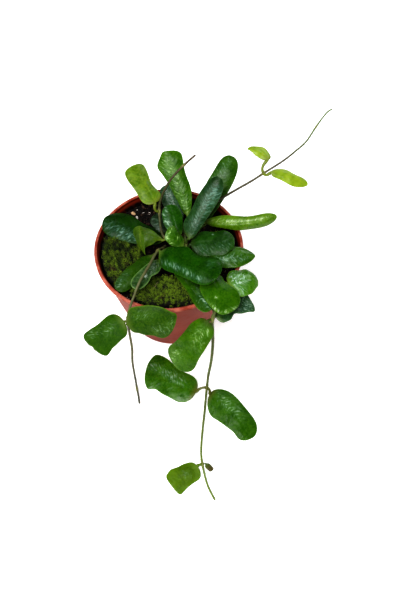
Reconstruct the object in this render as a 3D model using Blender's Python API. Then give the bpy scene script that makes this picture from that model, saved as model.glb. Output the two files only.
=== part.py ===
"""A potted square-leaved hoya: a plastic pot, its soil and moss, five stems and their leaves.

Blender 4.5. Metres, +Z up. The origin is the middle of the pot's base, and -Y is the front.
Lengths in the tables are millimetres and angles are degrees; the functions turn them into metres.
"""

import math

import bmesh
import bpy
from mathutils import Matrix, Vector, noise

MM = 0.001
GAP = 0.3  # clearance between pieces that touch

# Pot
POT_HEIGHT = 95.0
RIM_RADIUS = 60.0
RIM_INNER_RADIUS = 57.3
RIM_DEPTH = 3.6
BASE_RADIUS = 42.4
WALL = 1.3
FLOOR = 2.2
BODY_TOP_RADIUS = 57.6
POT_SIDES = 48
DRAIN_HOLES = 8
DRAIN_RADIUS = 3.2
DRAIN_RING_RADIUS = 31.0
FOOT_BEVEL = 1.5
RIM_BEVEL = 0.8
SHOULDER = 2.0  # height over which the wall widens into the rim, inside

# Soil and moss
SOIL_LEVEL = 84.0
SOIL_RELIEF = 1.6
SOIL_LUMP = 9.0
SOIL_CRUMB = 4.0
SOIL_BANK = dict(centre=(-34, 46), spread=15, height=5)  # heaped against the wall, behind
SOIL_SIDES = 36
SOIL_RINGS = 9
HOLE_DEPTH = 19.0
HOLE_CLEARANCE = 0.4
STEM_DEPTH = 18.0
MOSS_SIDES = 20
MOSS_RINGS = 5
MOSS_EDGE = 0.7
MOSS_LUMP = 5.0
MOSS_LUMPINESS = 0.35
MOSS_RAGGEDNESS = 0.12
MOSS_DOME = 0.45  # power of the cushion's rise from its edge
PERLITE_RADIUS = 1.5
PERLITE_SHOWING = 0.35  # how far a grain's middle is above the soil, as a share of its radius

# Leaves
BLADE_MIDDLE = 1.7
BLADE_EDGE = 0.75
BLADE_TAPER = 0.25  # how much thinner the midrib is at the tip
PETIOLE_RADIUS = 1.25
NARROW_BLADE = 9.0  # blades narrower than this have thinner petioles
ACROSS = 4
ALONG = (0.0, 0.035, 0.1, 0.2, 0.34, 0.5, 0.66, 0.8, 0.9, 0.96, 0.993)
PETIOLE_RINGS = 3
MIDRIB_STEPS = 40
HOOK_START = 0.62  # where along a blade a hooked tip starts to bend, and over what share of its length
HOOK_SHARE = 0.12
TIP_ROUNDING = 0.3  # share of the length over which a plain tip rounds off
TIP_SQUARING = 0.16
NARROWEST = 1.1  # least half width, where the blade meets its petiole

# Stems
STEM_SIDES = 6
STEM_STEP = 5.0
NODE_SWELLING = 0.35
NODE_LENGTH = 2.2
STEM_STRAIGHT = 2.0  # depth in the soil above which a stem may start to bend
CURVE_STEPS = 24

# Each stem: its route above the soil, its radius at the soil and at the tip, and which points
# of the route are nodes.
STEMS = {
    "stem_centre": dict(
        route=[(13, 15, 88), (13, 11, 94), (13, 5, 98), (13.5, -2, 100), (14, -8, 100.5)],
        radii=(1.5, 1.2), nodes=[1, 3, 4],
    ),
    "stem_trailing_left": dict(
        route=[
            (-3, 4, 88), (-5, -4, 96), (-8, -12, 104), (-14, -30, 109), (-20, -43, 108),
            (-24, -51, 102), (-26.5, -56, 98), (-28.5, -60, 93), (-30, -64, 86), (-30, -67, 68),
            (-30, -70, 50), (-31.3, -74, 32), (-30.6, -80, 16), (-29.5, -87, 5), (-28.2, -93, 1.5),
            (-27, -99.5, 1),
        ],
        radii=(1.15, 0.85), nodes=[1, 2, 8, 13],
    ),
    "stem_trailing_right": dict(
        route=[
            (1, -6, 88), (4, -12, 95), (14, -18, 101), (25, -25, 103), (33, -38, 100), (37.5, -50, 98),
            (37, -57, 93), (34.5, -63, 86), (35, -66, 74), (35.3, -71, 58), (34.2, -78, 42),
            (32, -83, 24), (31, -88, 10), (30, -95, 3.5), (29, -106, 1.6), (27, -125, 1.4),
            (26, -140, 1.4), (27, -151, 1.5), (31, -167, 1.2), (37, -179, 1),
        ],
        radii=(1.5, 0.8), nodes=[1, 3, 4, 7, 12, 17],
    ),
    "stem_rising_right": dict(
        route=[
            (22, 14, 88), (23, 12, 95), (24, 15, 101), (31, 24, 107), (40, 32, 112), (55, 38, 119),
            (66, 41, 125), (75, 44, 130.5), (90, 50, 138), (101, 57, 143), (108, 62, 147), (116, 73, 152),
            (124, 83, 156), (129, 86, 158),
        ],
        radii=(1.2, 0.5), nodes=[1, 2, 7, 11],
    ),
    "stem_arching": dict(
        route=[
            (3, 15, 88), (3, 10, 92), (1.5, 5, 96), (-2, 3, 100), (-5, 6, 103), (-6.5, 12, 109),
            (-7, 19, 115), (-6, 23, 122), (-2, 26, 132), (4, 29, 142), (13, 30, 154), (22, 30, 165),
        ],
        radii=(1.3, 0.7), nodes=[1, 2, 3, 6, 10],
    ),
}

# Each leaf: the stem and the point of its route where it grows, where its tip is, its width, its
# petiole's length or else where the blade's base lies from the stem (stalk), and its shade of green.
# It may bow up (droop) or sideways (sway) between base and tip, bend down near its tip (hook), roll
# about its midrib, curl its left and right edges down, and be narrower at its waist or all along its
# base half (flare). The base widens over a share of the length (wedge), and the tip is squared or,
# below 0, pointed (square), slants (skew) or has corners that reach past its middle (notch). Each dent
# is a side, a place along it, a share of the half width that it takes away, or below 0 adds, and its
# spread.
LEAVES = {
    "leaf_back_square": dict(
        stem="stem_rising_right", node=2, petiole=12, tip=(-1, 63, 136),
        width=21, wedge=0.7, square=1, skew=0.25, droop=16, roll=-16, curl=(25, 25), shade="mid",
        dents=[
            ("left", 0.18, 0.35, 0.15), ("left", 0.45, 0.2, 0.2), ("left", 0.8, -0.22, 0.1),
            ("left", 1.0, 0.42, 0.15), ("right", 0.65, 0.18, 0.2),
        ],
    ),
    "leaf_back_tall": dict(
        stem="stem_rising_right", node=1, petiole=9, tip=(51.5, 65, 128),
        width=20, wedge=0.7, droop=24, roll=8, curl=(25, 25), shade="mid",
        dents=[("left", 0.45, -0.08, 0.2), ("left", 0.72, 0.1, 0.2)],
    ),
    "leaf_right_narrow": dict(
        stem="stem_rising_right", node=2, stalk=(6, 4, 1), tip=(86, 16, 112),
        width=14, wedge=0.5, square=-0.3, droop=10, sway=45, roll=45, curl=(50, 50), shade="fresh",
        dents=[("left", 0.15, -0.2, 0.15), ("left", 0.72, 0.22, 0.2), ("right", 0.3, 0.32, 0.2)],
    ),
    "leaf_centre_upright": dict(
        stem="stem_centre", node=3, stalk=(3.2, -1.5, 9), tip=(40, 33, 138),
        width=16, wedge=0.45, droop=20, roll=10, curl=(28, 28), shade="blue",
        dents=[("left", 0.12, -0.5, 0.15), ("left", 0.35, -0.12, 0.2), ("right", 0.2, 0.3, 0.25)],
    ),
    "leaf_centre_small": dict(
        stem="stem_centre", node=4, petiole=1.5, tip=(0, -0.3, 116),
        width=14, wedge=0.5, square=0.3, skew=-0.2, droop=-10, hook=20, roll=-5, curl=(30, 30), shade="mid",
        dents=[("left", 0.2, 0.3, 0.15)],
    ),
    "leaf_centre_back": dict(
        stem="stem_centre", node=3, stalk=(-5.6, 2, 6), tip=(0.7, 23, 117.5),
        width=16.5, wedge=0.6, droop=24, roll=-5, curl=(25, 25), shade="dark",
        dents=[("right", 0.45, 0.12, 0.4)],
    ),
    "leaf_centre_right": dict(
        stem="stem_centre", node=4, stalk=(4, 1.5, 5.3), tip=(52, -7, 109),
        width=23, wedge=0.35, droop=14, roll=5, curl=(20, 20), shade="dark",
        dents=[("right", 0.95, 0.25, 0.15)],
    ),
    "leaf_centre_low_back": dict(
        stem="stem_centre", node=1, petiole=8, tip=(-4, 48, 112),
        width=15, wedge=0.6, droop=14, roll=-15, curl=(20, 20), shade="blue",
    ),
    "leaf_left_small": dict(
        stem="stem_arching", node=2, stalk=(-2, 5, 2.5), tip=(-12, 23, 105),
        width=14, wedge=0.5, droop=15, curl=(20, 20), shade="blue",
    ),
    "leaf_left_long": dict(
        stem="stem_arching", node=1, stalk=(-7, -3, 1), tip=(-54, 23, 98.5),
        width=26, wedge=0.6, droop=12, curl=(25, 25), shade="dark",
        dents=[("right", 0.42, 0.25, 0.18), ("right", 0.75, -0.15, 0.2)],
    ),
    "leaf_left_folded": dict(
        stem="stem_arching", node=3, petiole=3, tip=(-26, 2, 98),
        width=25, wedge=0.5, square=0.8, flare=0.45, droop=14, sway=40, hook=65, curl=(10, 10),
        shade="olive",
        dents=[("left", 0.1, 0.3, 0.12), ("left", 0.8, -0.45, 0.2), ("right", 0.25, 0.28, 0.3)],
    ),
    "leaf_left_low": dict(
        stem="stem_trailing_left", node=1, stalk=(-7, -6, -1), tip=(-39, -41, 93),
        width=14, wedge=0.5, droop=16, roll=-10, curl=(20, 20), shade="mid",
    ),
    "leaf_left_low_front": dict(
        stem="stem_trailing_left", node=1, stalk=(0, -14, 4), tip=(-25, -45, 103),
        width=12, wedge=0.5, droop=10, roll=-10, curl=(-10, -10), shade="dark",
        dents=[("left", 0.5, 0.28, 0.12)],
    ),
    "leaf_centre_large": dict(
        stem="stem_trailing_left", node=2, stalk=(2, -4, 2.4), tip=(38, -44.5, 117),
        width=26, droop=36, sway=-10, roll=8, curl=(28, 28), shade="dark",
        dents=[("left", 0.2, 0.2, 0.12), ("left", 0.55, 0.36, 0.16), ("left", 0.85, -0.22, 0.14)],
    ),
    "leaf_front_left": dict(
        stem="stem_trailing_right", node=1, petiole=7, tip=(32, -62, 98),
        width=16, wedge=0.5, droop=16, roll=-10, curl=(20, 20), shade="mid",
        dents=[("right", 0.45, 0.42, 0.35)],
    ),
    "leaf_right_pointed": dict(
        stem="stem_trailing_right", node=3, petiole=6, tip=(68, -15, 102),
        width=17, wedge=0.5, square=-0.8, droop=16, roll=8, curl=(25, 25), shade="mid",
        dents=[("left", 0.75, -0.35, 0.2)],
    ),
    "leaf_front_broad": dict(
        stem="stem_trailing_right", node=3, stalk=(9, -9, 0), tip=(47, -62.5, 95.5),
        width=27, droop=50, roll=-6, curl=(15, 15), shade="mid",
        dents=[("left", 0.25, 0.42, 0.25), ("right", 0.9, 0.25, 0.25)],
    ),
    "leaf_right_glossy": dict(
        stem="stem_trailing_right", node=4, stalk=(14, -2, -2), tip=(70, -30, 91),
        width=24, droop=50, roll=4, curl=(25, 25), shade="bright",
        dents=[("right", 0.9, 0.35, 0.2)],
    ),
    "leaf_right_low": dict(
        stem="stem_trailing_right", node=7, stalk=(2, 4, -2), tip=(64.5, -41, 81),
        width=19, wedge=0.2, square=1, waist=0.1, droop=10, roll=10, curl=(10, 10), shade="blue",
        dents=[("right", 0.45, 0.3, 0.12), ("right", 0.15, 0.1, 0.1), ("right", 0.95, -0.2, 0.15)],
    ),
    "leaf_trail_right_1": dict(
        stem="stem_trailing_right", node=7, petiole=2, tip=(7, -86, 46),
        width=26, waist=0.15, droop=25, roll=-10, curl=(25, 25), shade="bright",
        dents=[("left", 0.2, 0.1, 0.15), ("right", 0.1, 0.2, 0.15), ("right", 0.9, -0.4, 0.25)],
    ),
    "leaf_trail_right_2": dict(
        stem="stem_trailing_right", node=12, stalk=(-9.5, -3, -4), tip=(-23.2, -70, 2),
        width=29, square=0.8, skew=-0.3, waist=0.1, droop=6, curl=(12, 12), shade="mid",
        dents=[
            ("left", 0.72, 0.16, 0.12), ("left", 1.0, 0.25, 0.08), ("right", 0.8, -0.42, 0.3),
            ("right", 1.0, 0.3, 0.06),
        ],
    ),
    "leaf_trail_right_3": dict(
        stem="stem_trailing_right", node=12, stalk=(2.3, -5, -3), tip=(66.3, -130.5, 1.5),
        width=24, droop=8, sway=-40, curl=(16, 16), shade="mid",
        dents=[("right", 0.25, -0.25, 0.25), ("right", 0.8, 0.2, 0.15)],
    ),
    "leaf_trail_right_4": dict(
        stem="stem_trailing_right", node=17, petiole=3, tip=(3, -169, 2),
        width=20, square=1, droop=8, curl=(14, 14), shade="bright",
        dents=[("left", 0.6, 0.18, 0.4), ("right", 0.15, 0.25, 0.2), ("right", 0.75, -0.15, 0.2)],
    ),
    "leaf_trail_right_bud": dict(
        stem="stem_trailing_right", node=17, petiole=2, tip=(35, -156.5, 3.5),
        width=4.6, droop=8, curl=(20, 20), shade="dark",
    ),
    "leaf_trail_left_1": dict(
        stem="stem_trailing_left", node=8, petiole=1, tip=(-58, -77.5, 69),
        width=26, square=0.9, skew=-0.25, notch=1.5, flare=0.1, droop=20, roll=-20, curl=(15, 15),
        shade="mid",
        dents=[("left", 0.3, 0.15, 0.2), ("left", 0.62, 0.1, 0.16), ("right", 0.55, 0.14, 0.2)],
    ),
    "leaf_trail_left_2": dict(
        stem="stem_trailing_left", node=8, stalk=(1, -5.2, 5), tip=(7, -70, 94),
        width=25, wedge=0.2, square=0.6, skew=0.2, waist=0.1, droop=20, roll=56, curl=(20, 20), shade="mid",
        dents=[
            ("left", 0.9, 0.3, 0.15), ("left", 0.45, -0.18, 0.25), ("right", 0.15, 0.22, 0.15),
            ("right", 0.7, -0.28, 0.2),
        ],
    ),
    "leaf_arching_young": dict(
        stem="stem_arching", node=6, stalk=(-3, 3, 6), tip=(-28, 52, 131),
        width=18, wedge=0.25, square=0.8, waist=0.02, droop=10, curl=(20, 20), shade="young",
        dents=[("left", 0.75, -0.12, 0.2), ("right", 0.5, 0.3, 0.3)],
    ),
    "leaf_rising_young_1": dict(
        stem="stem_rising_right", node=7, stalk=(3.4, 9.3, 5), tip=(63, 63, 138),
        width=11, wedge=0.4, square=-1, droop=20, sway=80, curl=(30, 30), shade="young",
    ),
    "leaf_rising_young_2": dict(
        stem="stem_rising_right", node=7, stalk=(5.5, -1.5, 2.5), tip=(110, 36.5, 126),
        width=12, wedge=0.4, square=-0.6, droop=20, roll=20, curl=(35, 35), shade="young",
        dents=[("left", 0.6, 0.25, 0.2), ("right", 0.25, 0.3, 0.25)],
    ),
}

LEAF_DEFAULTS = dict(
    petiole=5, stalk=None, droop=0, sway=0, hook=0, roll=0, curl=(0, 0), waist=0, flare=0,
    wedge=0.3, square=0, skew=0, notch=0, dents=(),
)

# Moss cushions: centre, half sizes, turn and height
MOSS = {
    "moss_left": dict(centre=(-40, -4), half=(19, 27), turn=8, height=7.0),
    "moss_front": dict(centre=(-2, -38), half=(27, 13), turn=0, height=5.0),
    "moss_right": dict(centre=(36, 8), half=(9, 12), turn=-20, height=3.0),
}

# Perlite grains on the bare soil: place and size
PERLITE = [
    (-31.5, 38.5, 1.2), (-23, 39, 0.8), (-28.4, 34.6, 0.85), (-34, 28, 0.7), (-18, 40, 0.6), (8, 44, 0.8),
]

POT_COLOUR = (0.55, 0.17, 0.10)
SOIL_COLOUR = (0.04, 0.03, 0.025)
MOSS_COLOUR = (0.13, 0.19, 0.03)
STEM_COLOUR = (0.20, 0.19, 0.09)
LEAF_COLOURS = {
    "young": (0.28, 0.48, 0.03),
    "fresh": (0.18, 0.40, 0.02),
    "bright": (0.12, 0.36, 0.02),
    "mid": (0.07, 0.24, 0.03),
    "olive": (0.12, 0.24, 0.02),
    "dark": (0.03, 0.15, 0.02),
    "blue": (0.06, 0.17, 0.08),
}


def clear_scene():
    for old in list(bpy.data.objects):
        bpy.data.objects.remove(old)


def material(name, colour, roughness):
    """A plain Principled material for one piece."""
    made = bpy.data.materials.new(name)
    made.use_nodes = True
    shader = made.node_tree.nodes["Principled BSDF"]
    shader.inputs["Base Color"].default_value = (*colour, 1)
    shader.inputs["Roughness"].default_value = roughness
    shader.inputs["Metallic"].default_value = 0
    return made


def add_object(name, points, faces, colour=None, roughness=0.5):
    """A mesh object from points in millimetres. Pieces that only cut or join others have no colour."""
    mesh = bpy.data.meshes.new(name)
    mesh.from_pydata([Vector(p) * MM for p in points], [], faces)
    if colour:
        mesh.materials.append(material(name, colour, roughness))
    mesh.shade_smooth()
    made = bpy.data.objects.new(name, mesh)
    bpy.context.scene.collection.objects.link(made)
    return made


def turned(profile, sides):
    """Points and faces of a profile of (radius, height) turned round Z. A radius of 0 makes one point."""
    points, rows = [], []
    for radius, height in profile:
        if radius == 0:
            rows.append([len(points)] * sides)
            points.append((0, 0, height))
            continue
        rows.append([len(points) + i for i in range(sides)])
        for i in range(sides):
            angle = math.tau * i / sides
            points.append((radius * math.cos(angle), radius * math.sin(angle), height))
    faces = []
    for low, high in zip(rows, rows[1:]):
        for i in range(sides):
            k = (i + 1) % sides
            corners = [low[i], low[k], high[k], high[i]]
            faces.append([c for n, c in enumerate(corners) if c not in corners[:n]])
    return points, faces


def apply_boolean(target, others, operation):
    """Joins or cuts target with the other objects, and removes them."""
    helpers = bpy.data.collections.new("helpers")
    bpy.context.scene.collection.children.link(helpers)
    for other in others:
        helpers.objects.link(other)
    modifier = target.modifiers.new("boolean", "BOOLEAN")
    modifier.operation = operation
    modifier.operand_type = "COLLECTION"
    modifier.collection = helpers
    modifier.solver = "EXACT"
    graph = bpy.context.evaluated_depsgraph_get()
    made = bpy.data.meshes.new_from_object(target.evaluated_get(graph))
    target.modifiers.clear()
    target.data = made
    for other in others:
        bpy.data.objects.remove(other)
    bpy.data.collections.remove(helpers)


def upright_cylinder(name, radius, low, high, place, sides=10):
    points, faces = turned([(0, low), (radius, low), (radius, high), (0, high)], sides)
    return add_object(name, [(x + place[0], y + place[1], z) for x, y, z in points], faces)


def inner_radius(height):
    """Radius of the pot's inner wall at a height."""
    share = (height - FLOOR) / (POT_HEIGHT - RIM_DEPTH - FLOOR)
    return BASE_RADIUS - WALL + share * (BODY_TOP_RADIUS - BASE_RADIUS)


def make_pot():
    under_rim = POT_HEIGHT - RIM_DEPTH
    profile = [
        (0, 0), (BASE_RADIUS - FOOT_BEVEL, 0), (BASE_RADIUS, FOOT_BEVEL),
        (BODY_TOP_RADIUS, under_rim), (RIM_RADIUS, under_rim + RIM_BEVEL),
        (RIM_RADIUS, POT_HEIGHT - RIM_BEVEL), (RIM_RADIUS - RIM_BEVEL, POT_HEIGHT),
        (RIM_INNER_RADIUS + RIM_BEVEL, POT_HEIGHT), (RIM_INNER_RADIUS, POT_HEIGHT - RIM_BEVEL),
        (inner_radius(under_rim - SHOULDER), under_rim - SHOULDER), (inner_radius(FLOOR), FLOOR),
        (0, FLOOR),
    ]
    pot = add_object("pot", *turned(profile, POT_SIDES), POT_COLOUR, 0.45)
    drains = []
    for i in range(DRAIN_HOLES):
        angle = math.tau * (i + 0.5) / DRAIN_HOLES
        place = (DRAIN_RING_RADIUS * math.cos(angle), DRAIN_RING_RADIUS * math.sin(angle))
        drains.append(upright_cylinder("drain", DRAIN_RADIUS, -2, FLOOR + 2, place, 12))
    apply_boolean(pot, drains, "DIFFERENCE")


def moss_share(spec, x, y):
    """How far a point is from a moss cushion's middle: 0 in the middle and 1 at its edge."""
    turn = math.radians(spec["turn"])
    dx, dy = x - spec["centre"][0], y - spec["centre"][1]
    along = dx * math.cos(turn) + dy * math.sin(turn)
    across = -dx * math.sin(turn) + dy * math.cos(turn)
    return math.hypot(along / spec["half"][0], across / spec["half"][1])


def soil_height(x, y):
    """Height of the soil: crumbly where it is bare, heaped at one place, and level below the moss."""
    nearest = min(moss_share(spec, x, y) for spec in MOSS.values())
    bare = min(max((nearest - 1.15) / 0.3, 0), 1)
    lumps = noise.noise(Vector((x / SOIL_LUMP, y / SOIL_LUMP, 3)))
    crumbs = noise.noise(Vector((x / SOIL_CRUMB, y / SOIL_CRUMB, 8)))
    centre, spread = Vector(SOIL_BANK["centre"]), SOIL_BANK["spread"]
    bank = SOIL_BANK["height"] * math.exp(-(((Vector((x, y)) - centre).length / spread) ** 2))
    return SOIL_LEVEL + bare * (SOIL_RELIEF * (lumps + 0.6 * crumbs) + bank)


def make_soil(stems):
    top_radius = inner_radius(SOIL_LEVEL) - GAP
    bottom = FLOOR + GAP
    points, faces = turned(
        [(0, bottom), (inner_radius(bottom) - GAP, bottom)]
        + [(top_radius * (1 - k / SOIL_RINGS), SOIL_LEVEL) for k in range(SOIL_RINGS)]
        + [(0, SOIL_LEVEL)],
        SOIL_SIDES,
    )
    raised = []
    for x, y, z in points:
        if z == SOIL_LEVEL:
            at_wall = math.hypot(x, y) > top_radius - 0.1
            z = max(z, soil_height(x, y)) if at_wall else soil_height(x, y)
        raised.append((x, y, z))
    soil = add_object("soil", raised, faces, SOIL_COLOUR, 0.95)
    grains = []
    for x, y, size in PERLITE:
        grain = bmesh.new()
        bmesh.ops.create_icosphere(grain, subdivisions=1, radius=PERLITE_RADIUS * size)
        place = Vector((x, y, soil_height(x, y) + PERLITE_SHOWING * PERLITE_RADIUS * size))
        made = [vertex.co + place for vertex in grain.verts]
        sides = [[vertex.index for vertex in face.verts] for face in grain.faces]
        grains.append(add_object("grain", made, sides))
        grain.free()
    apply_boolean(soil, grains, "UNION")
    holes = []
    for stem in stems.values():
        x, y = stem.exit
        radius = stem.radii[0] + HOLE_CLEARANCE
        holes.append(upright_cylinder("hole", radius, SOIL_LEVEL - HOLE_DEPTH, POT_HEIGHT, (x, y)))
    apply_boolean(soil, holes, "DIFFERENCE")


def make_moss(name, spec):
    """A low cushion with a lumpy top and a thin edge, on the level soil."""
    turn = math.radians(spec["turn"])
    low = SOIL_LEVEL + GAP
    reach = inner_radius(SOIL_LEVEL) - 2 * GAP
    tops, bottoms = [], []
    for ring in range(1, MOSS_RINGS + 1):
        share = math.sin(0.5 * math.pi * ring / MOSS_RINGS)
        for i in range(MOSS_SIDES):
            angle = math.tau * i / MOSS_SIDES
            round_it = 2.2 * Vector((math.cos(angle), math.sin(angle), 0))
            edge = 1 + MOSS_RAGGEDNESS * noise.noise(round_it + Vector((0, 0, len(name))))
            along = share * edge * spec["half"][0] * math.cos(angle)
            across = share * edge * spec["half"][1] * math.sin(angle)
            x = spec["centre"][0] + along * math.cos(turn) - across * math.sin(turn)
            y = spec["centre"][1] + along * math.sin(turn) + across * math.cos(turn)
            distance = math.hypot(x, y)
            if distance > reach:
                x, y = x * reach / distance, y * reach / distance
            lump = 1 + MOSS_LUMPINESS * noise.noise(Vector((x / MOSS_LUMP, y / MOSS_LUMP, 1)))
            dome = spec["height"] * (1 - share**2) ** MOSS_DOME * lump
            tops.append((x, y, low + max(dome, 0) + MOSS_EDGE))
            bottoms.append((x, y, low))
    points = tops + bottoms[-MOSS_SIDES:]
    middle = len(points)
    points.append((*spec["centre"], low + spec["height"] + MOSS_EDGE))
    points.append((*spec["centre"], low))
    faces = []
    last = (MOSS_RINGS - 1) * MOSS_SIDES
    for i in range(MOSS_SIDES):
        k = (i + 1) % MOSS_SIDES
        faces.append([middle, i, k])
        for ring in range(MOSS_RINGS - 1):
            a, b = ring * MOSS_SIDES, (ring + 1) * MOSS_SIDES
            faces.append([a + i, b + i, b + k, a + k])
        under = MOSS_RINGS * MOSS_SIDES
        faces.append([last + i, under + i, under + k, last + k])
        faces.append([under + i, middle + 1, under + k])
    add_object(name, points, faces, MOSS_COLOUR, 0.9)


def smooth_route(points, step):
    """Points a step apart on a smooth curve through the route's own points."""
    route = [Vector(p) for p in points]
    route = [2 * route[0] - route[1], *route, 2 * route[-1] - route[-2]]
    fine = []
    for a, b, c, d in zip(route, route[1:], route[2:], route[3:]):
        linear, square, cube = c - a, 2 * a - 5 * b + 4 * c - d, 3 * b - a - 3 * c + d
        for k in range(CURVE_STEPS):
            t = k / CURVE_STEPS
            fine.append(b + 0.5 * (linear * t + square * t**2 + cube * t**3))
    fine.append(route[-2])
    run = [0.0]
    for a, b in zip(fine, fine[1:]):
        run.append(run[-1] + (b - a).length)
    count = max(2, round(run[-1] / step))
    even, k = [], 0
    for i in range(count + 1):
        target = run[-1] * i / count
        while k < len(run) - 2 and run[k + 1] < target:
            k += 1
        share = (target - run[k]) / (run[k + 1] - run[k])
        even.append(fine[k].lerp(fine[k + 1], share))
    return even


class Stem:
    """A stem's route, with its radius and direction at any distance from the soil."""

    def __init__(self, spec):
        x, y = spec["route"][0][:2]
        low = SOIL_LEVEL - STEM_DEPTH
        start = [(x, y, low), (x, y, low + 0.5 * STEM_DEPTH), (x, y, SOIL_LEVEL - STEM_STRAIGHT)]
        self.exit = (x, y)
        self.radii = spec["radii"]
        self.line = smooth_route(start + spec["route"], 1.0)
        self.length = sum((b - a).length for a, b in zip(self.line, self.line[1:]))
        self.spacing = self.length / (len(self.line) - 1)
        self.places = [self.nearest(Vector(point)) for point in spec["route"]]
        self.nodes = [self.places[k] for k in spec["nodes"]]

    def nearest(self, point):
        """How far along the stem it passes closest to a point."""
        distances = [(place - point).length for place in self.line]
        return distances.index(min(distances)) * self.spacing

    def at(self, distance):
        """The point, direction and radius at a distance along the stem."""
        place = min(max(distance / self.spacing, 0), len(self.line) - 1.001)
        k = int(place)
        point = self.line[k].lerp(self.line[k + 1], place - k)
        before, after = self.line[max(k - 2, 0)], self.line[min(k + 3, len(self.line) - 1)]
        share = distance / self.length
        radius = self.radii[0] * (1 - share) + self.radii[1] * share
        for node in self.nodes:
            radius *= 1 + NODE_SWELLING * math.exp(-(((distance - node) / NODE_LENGTH) ** 2))
        return point, (after - before).normalized(), radius


def make_stem(name, stem):
    """A tube of rings, closer together at the nodes."""
    places = set()
    count = round(stem.length / STEM_STEP)
    for i in range(count + 1):
        place = stem.length * i / count
        if all(abs(place - node) > 0.8 * STEM_STEP for node in stem.nodes):
            places.add(place)
    for node in stem.nodes:
        places.update((node - NODE_LENGTH, node, node + NODE_LENGTH))
    places = sorted(p for p in places if 0 <= p <= stem.length)
    points, faces = [], []
    side = Vector((1, 0, 0))
    for place in places:
        point, direction, radius = stem.at(place)
        side = (side - direction * side.dot(direction)).normalized()
        other = direction.cross(side)
        for i in range(STEM_SIDES):
            angle = math.tau * i / STEM_SIDES
            points.append(point + radius * (math.cos(angle) * side + math.sin(angle) * other))
    for ring in range(len(places) - 1):
        a, b = ring * STEM_SIDES, (ring + 1) * STEM_SIDES
        for i in range(STEM_SIDES):
            k = (i + 1) % STEM_SIDES
            faces.append([a + i, a + k, b + k, b + i])
    faces.append(list(range(STEM_SIDES))[::-1])
    faces.append([len(points) - STEM_SIDES + i for i in range(STEM_SIDES)])
    add_object(name, points, faces, STEM_COLOUR, 0.7)


def rounded(share, power):
    """A superellipse's quarter: 0 at 0 and 1 at 1."""
    return (1 - (1 - min(max(share, 0), 1)) ** power) ** (1 / power)


def half_width(leaf, t, side):
    """How far the blade reaches to one side at a share t of its length: a rounded base, a squared tip."""
    base = rounded(t / leaf["wedge"], 2.5 - leaf["wedge"])
    tip = rounded((1 - t) / (TIP_ROUNDING - TIP_SQUARING * leaf["square"]), 2.4 + leaf["square"])
    share = (1 - leaf["waist"] * math.sin(math.pi * t) ** 2) * (1 - leaf["flare"] * (1 - t))
    for dented, place, depth, spread in leaf["dents"]:
        if dented == side:
            share -= depth * math.exp(-(((t - place) / spread) ** 2))
    return max(0.5 * leaf["width"] * base * tip * share, NARROWEST)


def direction(heading, rise):
    level = math.cos(rise)
    return Vector((level * math.cos(heading), level * math.sin(heading), math.sin(rise)))


class Midrib:
    """The curved line that a blade follows from its base to its tip, with its left and up directions."""

    def __init__(self, leaf, base):
        self.droop, self.sway = math.radians(leaf["droop"]), math.radians(leaf["sway"])
        self.roll, self.hook = math.radians(leaf["roll"]), math.radians(leaf["hook"])
        chord = Vector(leaf["tip"]) - base
        self.heading = math.atan2(chord.y, chord.x)
        self.rise = math.asin(chord.z / chord.length)
        for _ in range(3):
            unit = self.walk(Vector((0, 0, 0)), 1 / MIDRIB_STEPS)[-1]
            self.heading += math.atan2(chord.y, chord.x) - math.atan2(unit.y, unit.x)
            self.rise += math.asin(chord.z / chord.length) - math.asin(unit.z / unit.length)
        self.length = chord.length / unit.length
        self.points = self.walk(base, self.length / MIDRIB_STEPS)

    def walk(self, start, step):
        points = [start]
        for i in range(MIDRIB_STEPS):
            points.append(points[-1] + self.forward((i + 0.5) / MIDRIB_STEPS) * step)
        return points

    def forward(self, t):
        hooked = self.hook * min(max((t - HOOK_START) / HOOK_SHARE, 0), 1)
        return direction(
            self.heading + self.sway * (t - 0.5), self.rise - self.droop * (t - 0.5) - hooked
        )

    def frame(self, t):
        """The point at t, with the forward, left and up directions there."""
        place = min(max(t, 0), 1) * MIDRIB_STEPS
        k = min(int(place), MIDRIB_STEPS - 1)
        point = self.points[k].lerp(self.points[k + 1], place - k)
        forward = self.forward(t)
        level = Vector((-forward.y, forward.x, 0)).normalized()
        left = Matrix.Rotation(self.roll, 3, forward) @ level
        return point, forward, left, forward.cross(left)


def blade_section(leaf, t, s):
    """How far ahead, left and above the midrib a point s of the way across lies, and its outward tilt.

    s runs from -1 at the right edge to 1 at the left one."""
    left_side = s > 0
    half = half_width(leaf, t, "left" if left_side else "right")
    bend = math.radians(leaf["curl"][0 if left_side else 1]) * s
    if abs(bend) < 1e-4:
        across, drop = half * s, 0
    else:
        across = half * s * math.sin(bend) / bend
        drop = half * s * (1 - math.cos(bend)) / bend
    ahead = leaf["skew"] * across * t**2 + leaf["notch"] * s**2 * t**4
    return ahead, across, -drop, bend


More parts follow.
